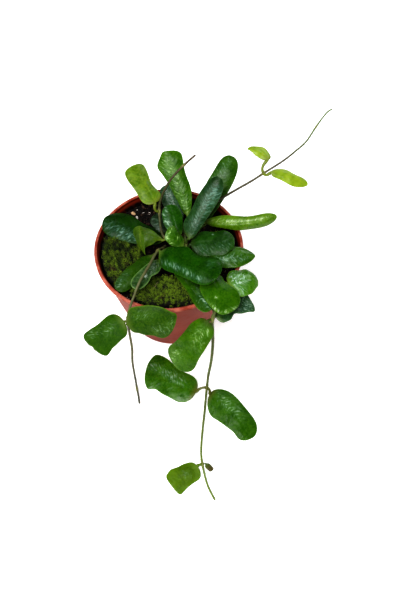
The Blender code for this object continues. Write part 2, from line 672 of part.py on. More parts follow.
def leaf_rings(leaf, stem):
    """The cross-sections from the stem to the tip, each a row of top points and a row of bottom ones."""
    point, along, radius = stem.at(stem.places[leaf["node"]])
    forward = (Vector(leaf["tip"]) - point).normalized()
    for _ in range(3):
        aim = Vector(leaf["stalk"]) if leaf["stalk"] else forward
        out = (aim - along * aim.dot(along)).normalized()
        start = point + out * (radius + GAP)
        base = point + aim if leaf["stalk"] else start + (out + forward) * 0.5 * leaf["petiole"]
        midrib = Midrib(leaf, base)
        forward = midrib.forward(0)
    bend = start + out * 0.5 * (base - start).length
    rings = []
    stalk = PETIOLE_RADIUS * min(1, leaf["width"] / NARROW_BLADE)
    for k in range(PETIOLE_RINGS):
        t = k / PETIOLE_RINGS
        centre = start * (1 - t) ** 2 + bend * 2 * t * (1 - t) + base * t**2
        forward = ((bend - start) * (1 - t) + (base - bend) * t).normalized()
        left = midrib.frame(0)[2]
        left = (left - forward * left.dot(forward)).normalized()
        up = forward.cross(left)
        top, bottom = [], []
        for j in range(ACROSS + 1):
            angle = math.pi * (1 - (j + 0.5) / (ACROSS + 1))
            side = left * math.cos(angle) * stalk
            top.append(centre + side + up * math.sin(angle) * stalk)
            bottom.append(centre + side - up * math.sin(angle) * stalk)
        rings.append((top, bottom))
    for t in ALONG:
        centre, forward, left, up = midrib.frame(t)
        top, bottom = [], []
        for j in range(ACROSS + 1):
            s = 2 * j / ACROSS - 1
            ahead, across, above, tilt = blade_section(leaf, t, s)
            thick = BLADE_EDGE + (BLADE_MIDDLE * (1 - BLADE_TAPER * t) - BLADE_EDGE) * (1 - s * s)
            middle = centre + forward * ahead + left * across + up * above
            out = left * math.sin(tilt) + up * math.cos(tilt)
            top.append(middle + out * 0.5 * thick)
            bottom.append(middle - out * 0.5 * thick)
        rings.append((top, bottom))
    return rings


def make_leaf(name, leaf, stem):
    rings = leaf_rings(leaf, stem)
    points = [p for top, bottom in rings for p in top + bottom]
    row = ACROSS + 1
    faces = []
    for i in range(len(rings) - 1):
        a, b = 2 * row * i, 2 * row * (i + 1)
        for j in range(ACROSS):
            faces.append([a + j, b + j, b + j + 1])
            faces.append([a + j, b + j + 1, a + j + 1])
            faces.append([a + row + j, b + row + j + 1, b + row + j])
            faces.append([a + row + j, a + row + j + 1, b + row + j + 1])
        faces.append([a, a + row, b + row, b])
        faces.append([a + ACROSS, b + ACROSS, b + row + ACROSS, a + row + ACROSS])
    end = 2 * row * (len(rings) - 1)
    for j in range(ACROSS):
        faces.append([j, j + 1, row + j + 1, row + j])
        faces.append([end + j, end + row + j, end + row + j + 1, end + j + 1])
    add_object(name, points, faces, LEAF_COLOURS[leaf["shade"]], 0.35)


def main():
    clear_scene()
    stems = {name: Stem(spec) for name, spec in STEMS.items()}
    make_pot()
    make_soil(stems)
    for name, spec in MOSS.items():
        make_moss(name, spec)
    for name, stem in stems.items():
        make_stem(name, stem)
    for name, spec in LEAVES.items():
        make_leaf(name, {**LEAF_DEFAULTS, **spec}, stems[spec["stem"]])


main()
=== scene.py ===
"""The looks of a potted square-leaved hoya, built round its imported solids.

Blender 4.5. Metres, +Z up. Lengths in the tables and the shape functions are millimetres and angles
are degrees, as in the part's own source; add_piece turns them into metres.
"""

import math

import bmesh
import bpy
import numpy as np
from mathutils import Matrix, Vector, noise

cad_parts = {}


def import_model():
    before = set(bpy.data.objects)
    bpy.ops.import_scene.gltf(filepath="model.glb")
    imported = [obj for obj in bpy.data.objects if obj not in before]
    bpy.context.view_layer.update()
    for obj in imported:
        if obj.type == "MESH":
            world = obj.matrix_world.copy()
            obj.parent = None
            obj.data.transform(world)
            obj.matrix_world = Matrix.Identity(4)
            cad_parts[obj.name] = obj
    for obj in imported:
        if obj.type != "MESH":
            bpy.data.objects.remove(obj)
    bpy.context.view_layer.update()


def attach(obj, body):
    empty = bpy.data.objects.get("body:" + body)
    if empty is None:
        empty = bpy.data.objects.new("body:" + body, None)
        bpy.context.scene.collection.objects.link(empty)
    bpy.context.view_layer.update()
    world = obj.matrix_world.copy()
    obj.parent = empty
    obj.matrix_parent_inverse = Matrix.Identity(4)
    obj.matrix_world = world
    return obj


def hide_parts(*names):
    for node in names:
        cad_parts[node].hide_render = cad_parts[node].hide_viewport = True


MM = 0.001

# The photograph's camera, worked out from the pot's rim and base
PHOTO_HEIGHT = 601
FOCAL_PIXELS = 560.0
CAMERA_PLACE = (25.5, -263.4, 462.6)
CAMERA_ELEVATION = 60.0
SENSOR = 36.0

GAP = 0.3  # clearance between pieces that touch

# Pot
POT_HEIGHT = 95.0
RIM_RADIUS = 60.0
RIM_INNER_RADIUS = 57.3
RIM_DEPTH = 3.6
BASE_RADIUS = 42.4
WALL = 1.3
FLOOR = 2.2
BODY_TOP_RADIUS = 57.6
POT_SIDES = 160
DRAIN_HOLES = 8
DRAIN_RADIUS = 3.2
DRAIN_RING_RADIUS = 31.0
FOOT_BEVEL = 1.5
RIM_ROUNDING = 0.6
WALL_BENDS = (70, 45, 20)  # heights where the inner wall has a ring of points
SHARP_EDGE = 50.0  # angle above which the pot's edges are shaded sharp
SOIL_DARKENING_HEIGHTS = (4, 9)  # above the soil, between which the inner wall's painted shade grows darker towards the soil
SOIL_DARKENING_UNEVEN = 4
SHOULDER = 2.0  # height over which the wall widens into the rim, inside

# Soil and moss
SOIL_LEVEL = 84.0
SOIL_RELIEF = 1.6
SOIL_LUMP = 9.0
SOIL_CRUMB = 4.0
SOIL_BANK = dict(centre=(-34, 46), spread=15, height=5)  # heaped against the wall, behind
SOIL_SIDES = 220
SOIL_RINGS = 60
STEM_DEPTH = 18.0
MOSS_SIDES = 72
MOSS_RINGS = 18
MOSS_EDGE = 0.7
MOSS_LUMP = 5.0
MOSS_LUMPINESS = 0.35
MOSS_RAGGEDNESS = 0.12
MOSS_DOME = 0.45  # power of the cushion's rise from its edge
PERLITE_RADIUS = 1.5
PERLITE_SHOWING = 0.35  # how far a grain's middle is above the soil, as a share of its radius

# Leaves
BLADE_MIDDLE = 1.7
BLADE_EDGE = 0.75
BLADE_TAPER = 0.25  # how much thinner the midrib is at the tip
PETIOLE_RADIUS = 1.25
NARROW_BLADE = 9.0  # blades narrower than this have thinner petioles
PETIOLE_RINGS = 9
MIDRIB_STEPS = 40
HOOK_START = 0.62  # where along a blade a hooked tip starts to bend, and over what share of its length
HOOK_SHARE = 0.12
TIP_ROUNDING = 0.3  # share of the length over which a plain tip rounds off
TIP_SQUARING = 0.16
NARROWEST = 1.1  # least half width, where the blade meets its petiole
PLAIN_WIDTH = 16.0  # narrower blades have less relief
FLAT = 1e-4  # a bend in radians below which a blade counts as flat

# Stems
STEM_SIDES = 14
STEM_STEP = 0.8
NODE_SWELLING = 0.35
NODE_LENGTH = 2.2
RING_SWELLING = 0.18  # the ring below each node
RING_LENGTH = 0.5
LEAST_TIP = 0.05  # the tip is rounded from this far before its end
STEM_STRAIGHT = 2.0  # depth in the soil above which a stem may start to bend
CURVE_STEPS = 24

# Each stem: its route above the soil, its radius at the soil and at the tip, and which points
# of the route are nodes.
STEMS = {
    "stem_centre": dict(
        route=[(13, 15, 88), (13, 11, 94), (13, 5, 98), (13.5, -2, 100), (14, -8, 100.5)],
        radii=(1.5, 1.2), nodes=[1, 3, 4],
    ),
    "stem_trailing_left": dict(
        route=[
            (-3, 4, 88), (-5, -4, 96), (-8, -12, 104), (-14, -30, 109), (-20, -43, 108),
            (-24, -51, 102), (-26.5, -56, 98), (-28.5, -60, 93), (-30, -64, 86), (-30, -67, 68),
            (-30, -70, 50), (-31.3, -74, 32), (-30.6, -80, 16), (-29.5, -87, 5), (-28.2, -93, 1.5),
            (-27, -99.5, 1),
        ],
        radii=(1.15, 0.85), nodes=[1, 2, 8, 13],
    ),
    "stem_trailing_right": dict(
        route=[
            (1, -6, 88), (4, -12, 95), (14, -18, 101), (25, -25, 103), (33, -38, 100), (37.5, -50, 98),
            (37, -57, 93), (34.5, -63, 86), (35, -66, 74), (35.3, -71, 58), (34.2, -78, 42),
            (32, -83, 24), (31, -88, 10), (30, -95, 3.5), (29, -106, 1.6), (27, -125, 1.4),
            (26, -140, 1.4), (27, -151, 1.5), (31, -167, 1.2), (37, -179, 1),
        ],
        radii=(1.5, 0.8), nodes=[1, 3, 4, 7, 12, 17],
    ),
    "stem_rising_right": dict(
        route=[
            (22, 14, 88), (23, 12, 95), (24, 15, 101), (31, 24, 107), (40, 32, 112), (55, 38, 119),
            (66, 41, 125), (75, 44, 130.5), (90, 50, 138), (101, 57, 143), (108, 62, 147), (116, 73, 152),
            (124, 83, 156), (129, 86, 158),
        ],
        radii=(1.2, 0.5), nodes=[1, 2, 7, 11],
    ),
    "stem_arching": dict(
        route=[
            (3, 15, 88), (3, 10, 92), (1.5, 5, 96), (-2, 3, 100), (-5, 6, 103), (-6.5, 12, 109),
            (-7, 19, 115), (-6, 23, 122), (-2, 26, 132), (4, 29, 142), (13, 30, 154), (22, 30, 165),
        ],
        radii=(1.3, 0.7), nodes=[1, 2, 3, 6, 10],
    ),
}

# Each leaf: the stem and the point of its route where it grows, where its tip is, its width, and its
# petiole's length or else where the blade's base lies from the stem (stalk). It may bow up (droop) or
# sideways (sway) between base and tip, bend down near its tip (hook), roll about its midrib, curl its
# edges down, and be narrower at its waist or all along its base half (flare). The base widens over a
# share of the length (wedge), and the tip is squared or, below 0, pointed (square), slants (skew) or
# has corners that reach past its middle (notch). Each dent is a side, a place along it, a share of
# the half width that it takes away, or below 0 adds, and its spread. Then comes its shade of green,
# with what it has of its own among the looks below. Each patch of painted light is a place along and
# across the blade, the patch's half sizes and its strength: above 0 it paints a sheen and glints of
# reflected light into the colour, and below 0 it paints shade, as along a crease or a fold.
LEAVES = {
    "leaf_back_square": dict(
        stem="stem_rising_right", node=2, petiole=12, tip=(-1, 63, 136), width=21, wedge=0.7, square=1,
        skew=0.25, droop=16, roll=-16, curl=25,
        dents=[("left", 0.18, 0.35, 0.15), ("left", 0.45, 0.2, 0.2), ("left", 0.8, -0.22, 0.1),
            ("left", 1.0, 0.42, 0.15), ("right", 0.65, 0.18, 0.2)],
        shade="mid", tone=1.1, net=0.35, crinkle=1.0, painted_sheen=0.35, painted_sparkle=0.65, wax=0.2, pucker=1.0,
        painted_sheen_colour=(122, 164, 84), painted_glint_colour=(180, 212, 146),
        painted_light=[(0.86, 0.4, 0.16, 0.45, 0.5), (0.6, 0.3, 0.2, 0.45, 0.8), (0.3, 0.1, 0.22, 0.5, 0.9),
            (0.1, -0.2, 0.12, 0.5, 0.7)],
    ),
    "leaf_back_tall": dict(
        stem="stem_rising_right", node=1, petiole=9, tip=(51.5, 65, 128), width=20, wedge=0.7, droop=24,
        roll=8, curl=25,
        dents=[("left", 0.45, -0.08, 0.2), ("left", 0.72, 0.1, 0.2)],
        shade="mid", tone=1.02, wax=0.25, crinkle=0.5, painted_sheen_colour=(108, 146, 116),
        painted_light=[(0.85, 0.15, 0.09, 0.3, 0.5), (0.62, 0.35, 0.16, 0.5, 0.8), (0.4, 0.6, 0.15, 0.3, 0.5)],
    ),
    "leaf_right_narrow": dict(
        stem="stem_rising_right", node=2, stalk=(6, 4, 1), tip=(86, 16, 112), width=14, wedge=0.5,
        square=-0.3, droop=10, sway=45, roll=45, curl=50,
        dents=[("left", 0.15, -0.2, 0.15), ("left", 0.72, 0.22, 0.2), ("right", 0.3, 0.32, 0.2)],
        shade="fresh", painted_sheen_colour=(160, 192, 104), painted_glint_colour=(214, 228, 186), painted_sheen=0.5, painted_sparkle=0.4, crinkle=0.7,
        wax=0.4, tone=0.94,
        painted_light=[(0.12, 0.3, 0.08, 0.25, 0.8), (0.4, 0.25, 0.22, 0.28, 0.9), (0.72, 0.2, 0.2, 0.25, 0.8)],
    ),
    "leaf_centre_upright": dict(
        stem="stem_centre", node=3, stalk=(3.2, -1.5, 9), tip=(40, 33, 138), width=16, wedge=0.45,
        droop=20, roll=10, curl=28,
        dents=[("left", 0.12, -0.5, 0.15), ("left", 0.35, -0.12, 0.2), ("right", 0.2, 0.3, 0.25)],
        shade="blue", crinkle=0.35, wax=0.2, painted_sheen=0.65, painted_sparkle=0.2, painted_sheen_colour=(98, 138, 122),
        painted_light=[(0.78, -0.45, 0.12, 0.7, 0.9), (0.58, -0.3, 0.2, 0.6, 0.8), (0.25, -0.1, 0.2, 0.6, 0.5),
            (0.97, 0.0, 0.07, 1.0, -0.6)],
    ),
    "leaf_centre_small": dict(
        stem="stem_centre", node=4, petiole=1.5, tip=(0, -0.3, 116), width=14, wedge=0.5, square=0.3,
        skew=-0.2, droop=-10, hook=20, roll=-5, curl=30,
        dents=[("left", 0.2, 0.3, 0.15)],
        shade="mid", tone=1.15, painted_sheen_colour=(150, 194, 100), painted_glint_colour=(196, 224, 160), crinkle=0.5, wax=0.3,
        painted_sparkle=0.8, painted_sheen=0.6,
        painted_light=[(0.6, 0.75, 0.3, 0.25, 1.1), (0.85, -0.1, 0.08, 0.6, 0.9), (0.45, -0.2, 0.1, 0.2, 0.7)],
    ),
    "leaf_centre_back": dict(
        stem="stem_centre", node=3, stalk=(-5.6, 2, 6), tip=(0.7, 23, 117.5), width=16.5, wedge=0.6,
        droop=24, roll=-5, curl=25,
        dents=[("right", 0.45, 0.12, 0.4)],
        shade="dark", wax=0.15, tone=1.08, crinkle=0.5,
        painted_light=[(0.85, 0.6, 0.12, 0.3, 0.6), (0.45, 0.7, 0.35, 0.3, 1.1)],
    ),
    "leaf_centre_right": dict(
        stem="stem_centre", node=4, stalk=(4, 1.5, 5.3), tip=(52, -7, 109), width=23, wedge=0.35,
        droop=14, roll=5, curl=20,
        dents=[("right", 0.95, 0.25, 0.15)],
        shade="dark", roughness=0.36, margin=0.8, crinkle=0.45, wax=0.25, painted_sheen=0.35, painted_sparkle=0.3,
        painted_sheen_colour=(92, 128, 112), stalk_green=(44, 64, 22),
        painted_light=[(0.75, -0.35, 0.22, 0.45, 0.5), (0.5, 0.65, 0.02, 0.06, 1.6),
            (0.25, -0.5, 0.2, 0.35, 0.5)],
    ),
    "leaf_centre_low_back": dict(
        stem="stem_centre", node=1, petiole=8, tip=(-4, 48, 112), width=15, wedge=0.6, droop=14,
        roll=-15, curl=20,
        shade="blue", painted_sheen=0.5, painted_sparkle=0.3, painted_sheen_colour=(110, 142, 132), crinkle=0.5,
        painted_light=[(0.7, 0.1, 0.35, 0.9, 0.7), (0.25, -0.4, 0.2, 0.6, 0.7)],
    ),
    "leaf_left_small": dict(
        stem="stem_arching", node=2, stalk=(-2, 5, 2.5), tip=(-12, 23, 105), width=14, wedge=0.5,
        droop=15, curl=20,
        shade="blue", tone=0.62, wax=0.2, painted_sheen=0.35, painted_sparkle=0.3, crinkle=0.5,
        painted_light=[(0.6, 0.5, 0.4, 0.5, 0.5)],
    ),
    "leaf_left_long": dict(
        stem="stem_arching", node=1, stalk=(-7, -3, 1), tip=(-54, 23, 98.5), width=26, wedge=0.6,
        droop=12, curl=25,
        dents=[("right", 0.42, 0.25, 0.18), ("right", 0.75, -0.15, 0.2)],
        shade="dark", tone=0.88, crinkle=0.8, painted_sheen=0.5, painted_sparkle=0.3, wax=0.12, painted_sheen_colour=(104, 142, 130),
        painted_light=[(0.72, 0.45, 0.14, 0.35, 0.8), (0.52, 0.6, 0.18, 0.35, 0.9), (0.9, 0.3, 0.1, 0.4, 0.4),
            (0.35, 0.55, 0.1, 0.35, 0.4)],
    ),
    "leaf_left_folded": dict(
        stem="stem_arching", node=3, petiole=3, tip=(-26, 2, 98), width=25, wedge=0.5, square=0.8,
        flare=0.45, droop=14, sway=40, hook=65, curl=10,
        dents=[("left", 0.1, 0.3, 0.12), ("left", 0.8, -0.45, 0.2), ("right", 0.25, 0.28, 0.3)],
        shade="olive", painted_sheen_colour=(140, 160, 62), painted_glint_colour=(150, 170, 80), painted_sheen=0.8, painted_sparkle=0.2, crinkle=0.4,
        painted_light=[(0.71, -0.35, 0.03, 0.35, 0.8), (0.77, 0.1, 0.03, 0.35, 0.8),
            (0.85, 0.6, 0.03, 0.35, 0.8), (0.92, -0.2, 0.1, 0.6, -0.4)],
    ),
    "leaf_left_low": dict(
        stem="stem_trailing_left", node=1, stalk=(-7, -6, -1), tip=(-39, -41, 93), width=14, wedge=0.5,
        droop=16, roll=-10, curl=20,
        shade="mid", tone=0.86, crinkle=0.4, wax=0.2, painted_sheen=0.4,
        painted_light=[(0.88, -0.4, 0.1, 0.6, 0.8), (0.68, -0.5, 0.12, 0.3, 0.4)],
    ),
    "leaf_left_low_front": dict(
        stem="stem_trailing_left", node=1, stalk=(0, -14, 4), tip=(-25, -45, 103), width=12, wedge=0.5,
        droop=10, roll=-10, curl=-10,
        dents=[("left", 0.5, 0.28, 0.12)],
        shade="dark", tone=0.95, margin=0.9, net=0.18, painted_sheen=0.3, light=(120, 156, 84),
        painted_glint_colour=(226, 234, 222),
        painted_light=[(0.6, 0.1, 0.035, 0.2, 2.0), (0.5, 0.2, 0.35, 0.6, 0.5)],
    ),
    "leaf_centre_large": dict(
        stem="stem_trailing_left", node=2, stalk=(2, -4, 2.4), tip=(38, -44.5, 117), width=26, droop=36,
        sway=-10, roll=8, curl=28,
        dents=[("left", 0.2, 0.2, 0.12), ("left", 0.55, 0.36, 0.16), ("left", 0.85, -0.22, 0.14)],
        shade="dark", tone=1.08, crinkle=0.3, wax=0.08, painted_sparkle=0.45, painted_sheen=0.6, painted_sheen_colour=(96, 134, 112),
        painted_light=[(0.25, -0.6, 0.16, 0.2, 0.6), (0.46, -0.62, 0.12, 0.13, 0.9),
            (0.68, -0.68, 0.12, 0.13, 1.0), (0.82, -0.66, 0.06, 0.14, 1.0), (0.8, 0.4, 0.04, 0.2, 0.8)],
    ),
    "leaf_front_left": dict(
        stem="stem_trailing_right", node=1, petiole=7, tip=(32, -62, 98), width=16, wedge=0.5, droop=16,
        roll=-10, curl=20,
        dents=[("right", 0.45, 0.42, 0.35)],
        shade="mid", tone=1.04, wax=0.2, crinkle=0.5, painted_sheen=0.6, painted_sparkle=0.8, painted_sheen_colour=(104, 146, 122),
        painted_light=[(0.82, 0.3, 0.13, 0.6, 1.1)],
    ),
    "leaf_right_pointed": dict(
        stem="stem_trailing_right", node=3, petiole=6, tip=(68, -15, 102), width=17, wedge=0.5,
        square=-0.8, droop=16, roll=8, curl=25,
        dents=[("left", 0.75, -0.35, 0.2)],
        shade="mid", tone=1.08, wax=0.3, crinkle=0.5,
        painted_light=[(0.5, -0.1, 0.2, 0.35, 0.8), (0.3, -0.15, 0.18, 0.4, 0.9), (0.72, -0.3, 0.1, 0.2, 0.6)],
    ),
    "leaf_front_broad": dict(
        stem="stem_trailing_right", node=3, stalk=(9, -9, 0), tip=(47, -62.5, 95.5), width=27, droop=50,
        roll=-6, curl=15,
        dents=[("left", 0.25, 0.42, 0.25), ("right", 0.9, 0.25, 0.25)],
        shade="mid", tone=1.12, crinkle=0.3, wax=0.1, painted_glint_colour=(226, 234, 222), painted_sheen_colour=(140, 180, 88),
        painted_sparkle=0.55, painted_sheen=0.7,
        painted_light=[(0.57, -0.4, 0.025, 0.07, 2.0), (0.94, 0.0, 0.04, 0.7, 1.0),
            (0.8, -0.85, 0.18, 0.12, 0.9)],
    ),
    "leaf_right_glossy": dict(
        stem="stem_trailing_right", node=4, stalk=(14, -2, -2), tip=(70, -30, 91), width=24, droop=50,
        roll=4, curl=25,
        dents=[("right", 0.9, 0.35, 0.2)],
        shade="bright", wax=0.45, roughness=0.24, pucker=1.0, grain=1.0, crinkle=1.1, painted_sheen=0.6,
        painted_sparkle=0.9, painted_sheen_colour=(132, 168, 138), painted_glint_colour=(204, 226, 210), tone=1.12,
        painted_light=[(0.32, 0.5, 0.2, 0.4, 1.0), (0.17, -0.3, 0.2, 0.55, 1.1), (0.5, 0.15, 0.08, 0.4, 0.8)],
    ),
    "leaf_right_low": dict(
        stem="stem_trailing_right", node=7, stalk=(2, 4, -2), tip=(64.5, -41, 81), width=19, wedge=0.2,
        square=1, waist=0.1, droop=10, roll=10, curl=10,
        dents=[("right", 0.45, 0.3, 0.12), ("right", 0.15, 0.1, 0.1), ("right", 0.95, -0.2, 0.15)],
        shade="blue", tone=1.2, painted_sheen=0.6, painted_sparkle=0.7, painted_sheen_colour=(110, 142, 132),
        painted_light=[(0.8, 0.0, 0.16, 0.7, 0.7), (0.7, -0.6, 0.15, 0.3, 0.7)],
    ),
    "leaf_trail_right_1": dict(
        stem="stem_trailing_right", node=7, petiole=2, tip=(7, -86, 46), width=26, waist=0.15, droop=25,
        roll=-10, curl=25,
        dents=[("left", 0.2, 0.1, 0.15), ("right", 0.1, 0.2, 0.15), ("right", 0.9, -0.4, 0.25)],
        shade="bright", wax=0.15, crinkle=0.9, painted_sheen=0.35, painted_sparkle=0.45, painted_sheen_colour=(140, 184, 90),
        painted_glint_colour=(196, 220, 176), tone=0.92, stalk_green=(70, 88, 32),
        painted_light=[(0.25, 0.1, 0.1, 0.5, 0.9), (0.14, 0.4, 0.07, 0.3, 0.7), (0.78, -0.4, 0.1, 0.25, 1.0),
            (0.93, -0.45, 0.06, 0.25, 0.8), (0.4, 0.4, 0.1, 0.4, 0.4)],
    ),
    "leaf_trail_right_2": dict(
        stem="stem_trailing_right", node=12, stalk=(-9.5, -3, -4), tip=(-23.2, -70, 2), width=29,
        square=0.8, skew=-0.3, waist=0.1, droop=6, curl=12,
        dents=[("left", 0.72, 0.16, 0.12), ("left", 1.0, 0.25, 0.08), ("right", 0.8, -0.42, 0.3),
            ("right", 1.0, 0.3, 0.06)],
        shade="mid", tone=1.2, crinkle=0.7, wax=0.3, painted_sheen=0.55, painted_sheen_colour=(120, 156, 122),
        stalk_green=(76, 80, 32),
        painted_light=[(0.68, -0.3, 0.2, 0.2, 0.8), (0.4, -0.3, 0.14, 0.35, 0.8), (0.9, -0.4, 0.08, 0.2, 0.5)],
    ),
    "leaf_trail_right_3": dict(
        stem="stem_trailing_right", node=12, stalk=(2.3, -5, -3), tip=(66.3, -130.5, 1.5), width=24,
        droop=8, sway=-40, curl=16,
        dents=[("right", 0.25, -0.25, 0.25), ("right", 0.8, 0.2, 0.15)],
        shade="mid", tone=1.1, wax=0.12, crinkle=0.9, painted_sheen_colour=(126, 166, 110), painted_sparkle=0.5,
        stalk_green=(76, 80, 32),
        painted_light=[(0.25, 0.25, 0.14, 0.3, 0.8), (0.5, 0.25, 0.14, 0.3, 0.9),
            (0.36, -0.05, 0.1, 0.25, 0.5)],
    ),
    "leaf_trail_right_4": dict(
        stem="stem_trailing_right", node=17, petiole=3, tip=(3, -169, 2), width=20, square=1, droop=8,
        curl=14,
        dents=[("left", 0.6, 0.18, 0.4), ("right", 0.15, 0.25, 0.2), ("right", 0.75, -0.15, 0.2)],
        shade="bright", wax=0.15, roughness=0.42, main=(92, 122, 10), dark=(72, 100, 6), pucker=0.5,
        painted_sheen=0.3,
        painted_light=[(0.62, 0.0, 0.025, 0.8, -0.9), (0.8, -0.3, 0.05, 0.4, -0.4), (0.45, 0.1, 0.1, 0.5, 0.3)],
    ),
    "leaf_trail_right_bud": dict(
        stem="stem_trailing_right", node=17, petiole=2, tip=(35, -156.5, 3.5), width=4.6, droop=8,
        curl=20,
        shade="dark", main=(84, 76, 34), dark=(62, 54, 24), light=(110, 104, 56), wax=0.2,
    ),
    "leaf_trail_left_1": dict(
        stem="stem_trailing_left", node=8, petiole=1, tip=(-58, -77.5, 69), width=26, square=0.9,
        skew=-0.25, notch=1.5, flare=0.1, droop=20, roll=-20, curl=15,
        dents=[("left", 0.3, 0.15, 0.2), ("left", 0.62, 0.1, 0.16), ("right", 0.55, 0.14, 0.2)],
        shade="mid", wax=0.1, roughness=0.4, crinkle=0.5, painted_sheen_colour=(124, 160, 104), tone=0.98,
        painted_light=[(0.75, -0.6, 0.15, 0.22, 0.6), (0.42, -0.25, 0.14, 0.3, 0.5)],
    ),
    "leaf_trail_left_2": dict(
        stem="stem_trailing_left", node=8, stalk=(1, -5.2, 5), tip=(7, -70, 94), width=25, wedge=0.2,
        square=0.6, skew=0.2, waist=0.1, droop=20, roll=56, curl=20,
        dents=[("left", 0.9, 0.3, 0.15), ("left", 0.45, -0.18, 0.25), ("right", 0.15, 0.22, 0.15),
            ("right", 0.7, -0.28, 0.2)],
        shade="mid", wax=0.1, roughness=0.42, crinkle=0.5, margin=0.9, painted_sheen_colour=(124, 160, 96), tone=0.9,
        light=(110, 146, 40),
        painted_light=[(0.9, 0.0, 0.07, 0.5, 0.5), (0.7, -0.4, 0.2, 0.3, 0.4), (0.3, 0.45, 0.2, 0.25, 0.4)],
    ),
    "leaf_arching_young": dict(
        stem="stem_arching", node=6, stalk=(-3, 3, 6), tip=(-28, 52, 131), width=18, wedge=0.25,
        square=0.8, waist=0.02, droop=10, curl=20,
        dents=[("left", 0.75, -0.12, 0.2), ("right", 0.5, 0.3, 0.3)],
        shade="young", tone=0.9, net=0.45, wax=0.2, crinkle=0.5,
    ),
    "leaf_rising_young_1": dict(
        stem="stem_rising_right", node=7, stalk=(3.4, 9.3, 5), tip=(63, 63, 138), width=11, wedge=0.4,
        square=-1, droop=20, sway=80, curl=30,
        shade="young", main=(150, 172, 36), dark=(116, 142, 14),
        painted_light=[(0.4, -0.2, 0.4, 0.2, -0.5)],
    ),
    "leaf_rising_young_2": dict(
        stem="stem_rising_right", node=7, stalk=(5.5, -1.5, 2.5), tip=(110, 36.5, 126), width=12,
        wedge=0.4, square=-0.6, droop=20, roll=20, curl=35,
        dents=[("left", 0.6, 0.25, 0.2), ("right", 0.25, 0.3, 0.25)],
        shade="young", main=(150, 172, 36), dark=(116, 142, 14),
        painted_light=[(0.5, 0.3, 0.3, 0.3, -0.4)],
    ),
}

LEAF_DEFAULTS = dict(
    petiole=5, stalk=None, droop=0, sway=0, hook=0, roll=0, curl=0, waist=0, flare=0, wedge=0.3, square=0,
    skew=0, notch=0, dents=(),
)

# Moss cushions: centre, half sizes, turn and height
MOSS = {
    "moss_left": dict(centre=(-40, -4), half=(19, 27), turn=8, height=7.0),
    "moss_front": dict(centre=(-2, -38), half=(27, 13), turn=0, height=5.0),
    "moss_right": dict(centre=(36, 8), half=(9, 12), turn=-20, height=3.0),
}

# Perlite grains on the bare soil: place and size
PERLITE = [
    (-31.5, 38.5, 1.2), (-23, 39, 0.8), (-28.4, 34.6, 0.85), (-34, 28, 0.7), (-18, 40, 0.6), (8, 44, 0.8),
]

# Fine forms of the blades
BLADE_SIDES = 68
BLADE_RINGS = 110
EDGE_ROUNDING = 0.45
MARGIN_WIDTH = 2.2
PETIOLE_SUNK = 0.7  # how far a petiole's root reaches into its stem
GROOVE_DEPTH = 0.45
GROOVE_WIDTH = 0.75
VEIN_SPACING = 3.4
VEIN_LENGTH = 5.5
VEIN_SLANT = 0.7
VEIN_WANDER = 2.0
VEIN_WANDER_SIZE = 6.0
WANDER_SHIFTS = [(9.3, -1.5, -8.0), (0, 0, 0), (6.3, 0.2, -2.7)]  # where X, Y and Z take their noise
VEIN_FADE = 6.0  # length over which the relief begins, from the blade's base
VEIN_WIDTH = 0.14  # as a share of the spacing
VEIN_DEPTH = 0.08
SWELL = 0.8
SWELL_SIZE = 9.0
WRINKLE = 0.3
WRINKLE_WIDTH = 1.8
WRINKLE_LENGTH = 4.5
WAVE = 0.8
STALK_GREEN = 5.0  # length of the blade's base that has the petiole's colour
BASE_CAP = 3.0  # length at the base that has no thin margin
LEAF_DEPTH = 1.2  # how far light spreads below the skin
STREAK_STRETCH = 2.0
PLAIN_WAX = 0.5
# Among the blade's attributes are its patches of painted light: painted sheen and glints above 0, painted
# shade below 0.
BLADE_ATTRIBUTES = ("margin", "vein", "under", "stalk", "slanted", "across", "painted_light", "shift")

# Crumbs, moss shoots and straws
CRUMBS = 1500
CRUMB_SIZE = 1.7
CRUMB_MARGIN = 1.6  # from the pot's wall
SMALL_PERLITE = [
    (-28.5, 42, 0.35), (-27, 31.4, 0.3), (-12, 38, 0.3), (37, -24, 0.5), (46, -18, 0.3),
    (-36.5, -39, 0.5), (-32, -42, 0.35), (-28, -45, 0.4), (-30.5, -43.5, 0.25), (-24, -46.5, 0.25),
]
GOLDEN_ANGLE = 2.39996
SHOOT_SPACING = 1.4
SHOOT_HEIGHT = 3.2
SHOOT_LEAVES = 10
SHOOT_LEAF = 2.1
SHOOT_LEAF_WIDTH = 0.24
SHOOT_TONE = 0.5
SHOOT_PAINTED_LIGHT_RISE = (-0.006, 0.0115)  # painted light, for each millimetre from the pot's middle, in X and Y: paler towards the front, darker towards the sides
MOSS_TUFT = 4.5
DRY_PATCH = 6.0
DRY_LIMIT = 0.6
STRAW_SIDES = 8
STRAW_RADIUS = 0.3
STRAW_ROUTE = [(-13, -41, 90.5), (-10, -37, 91.5), (-8, -33, 92)]

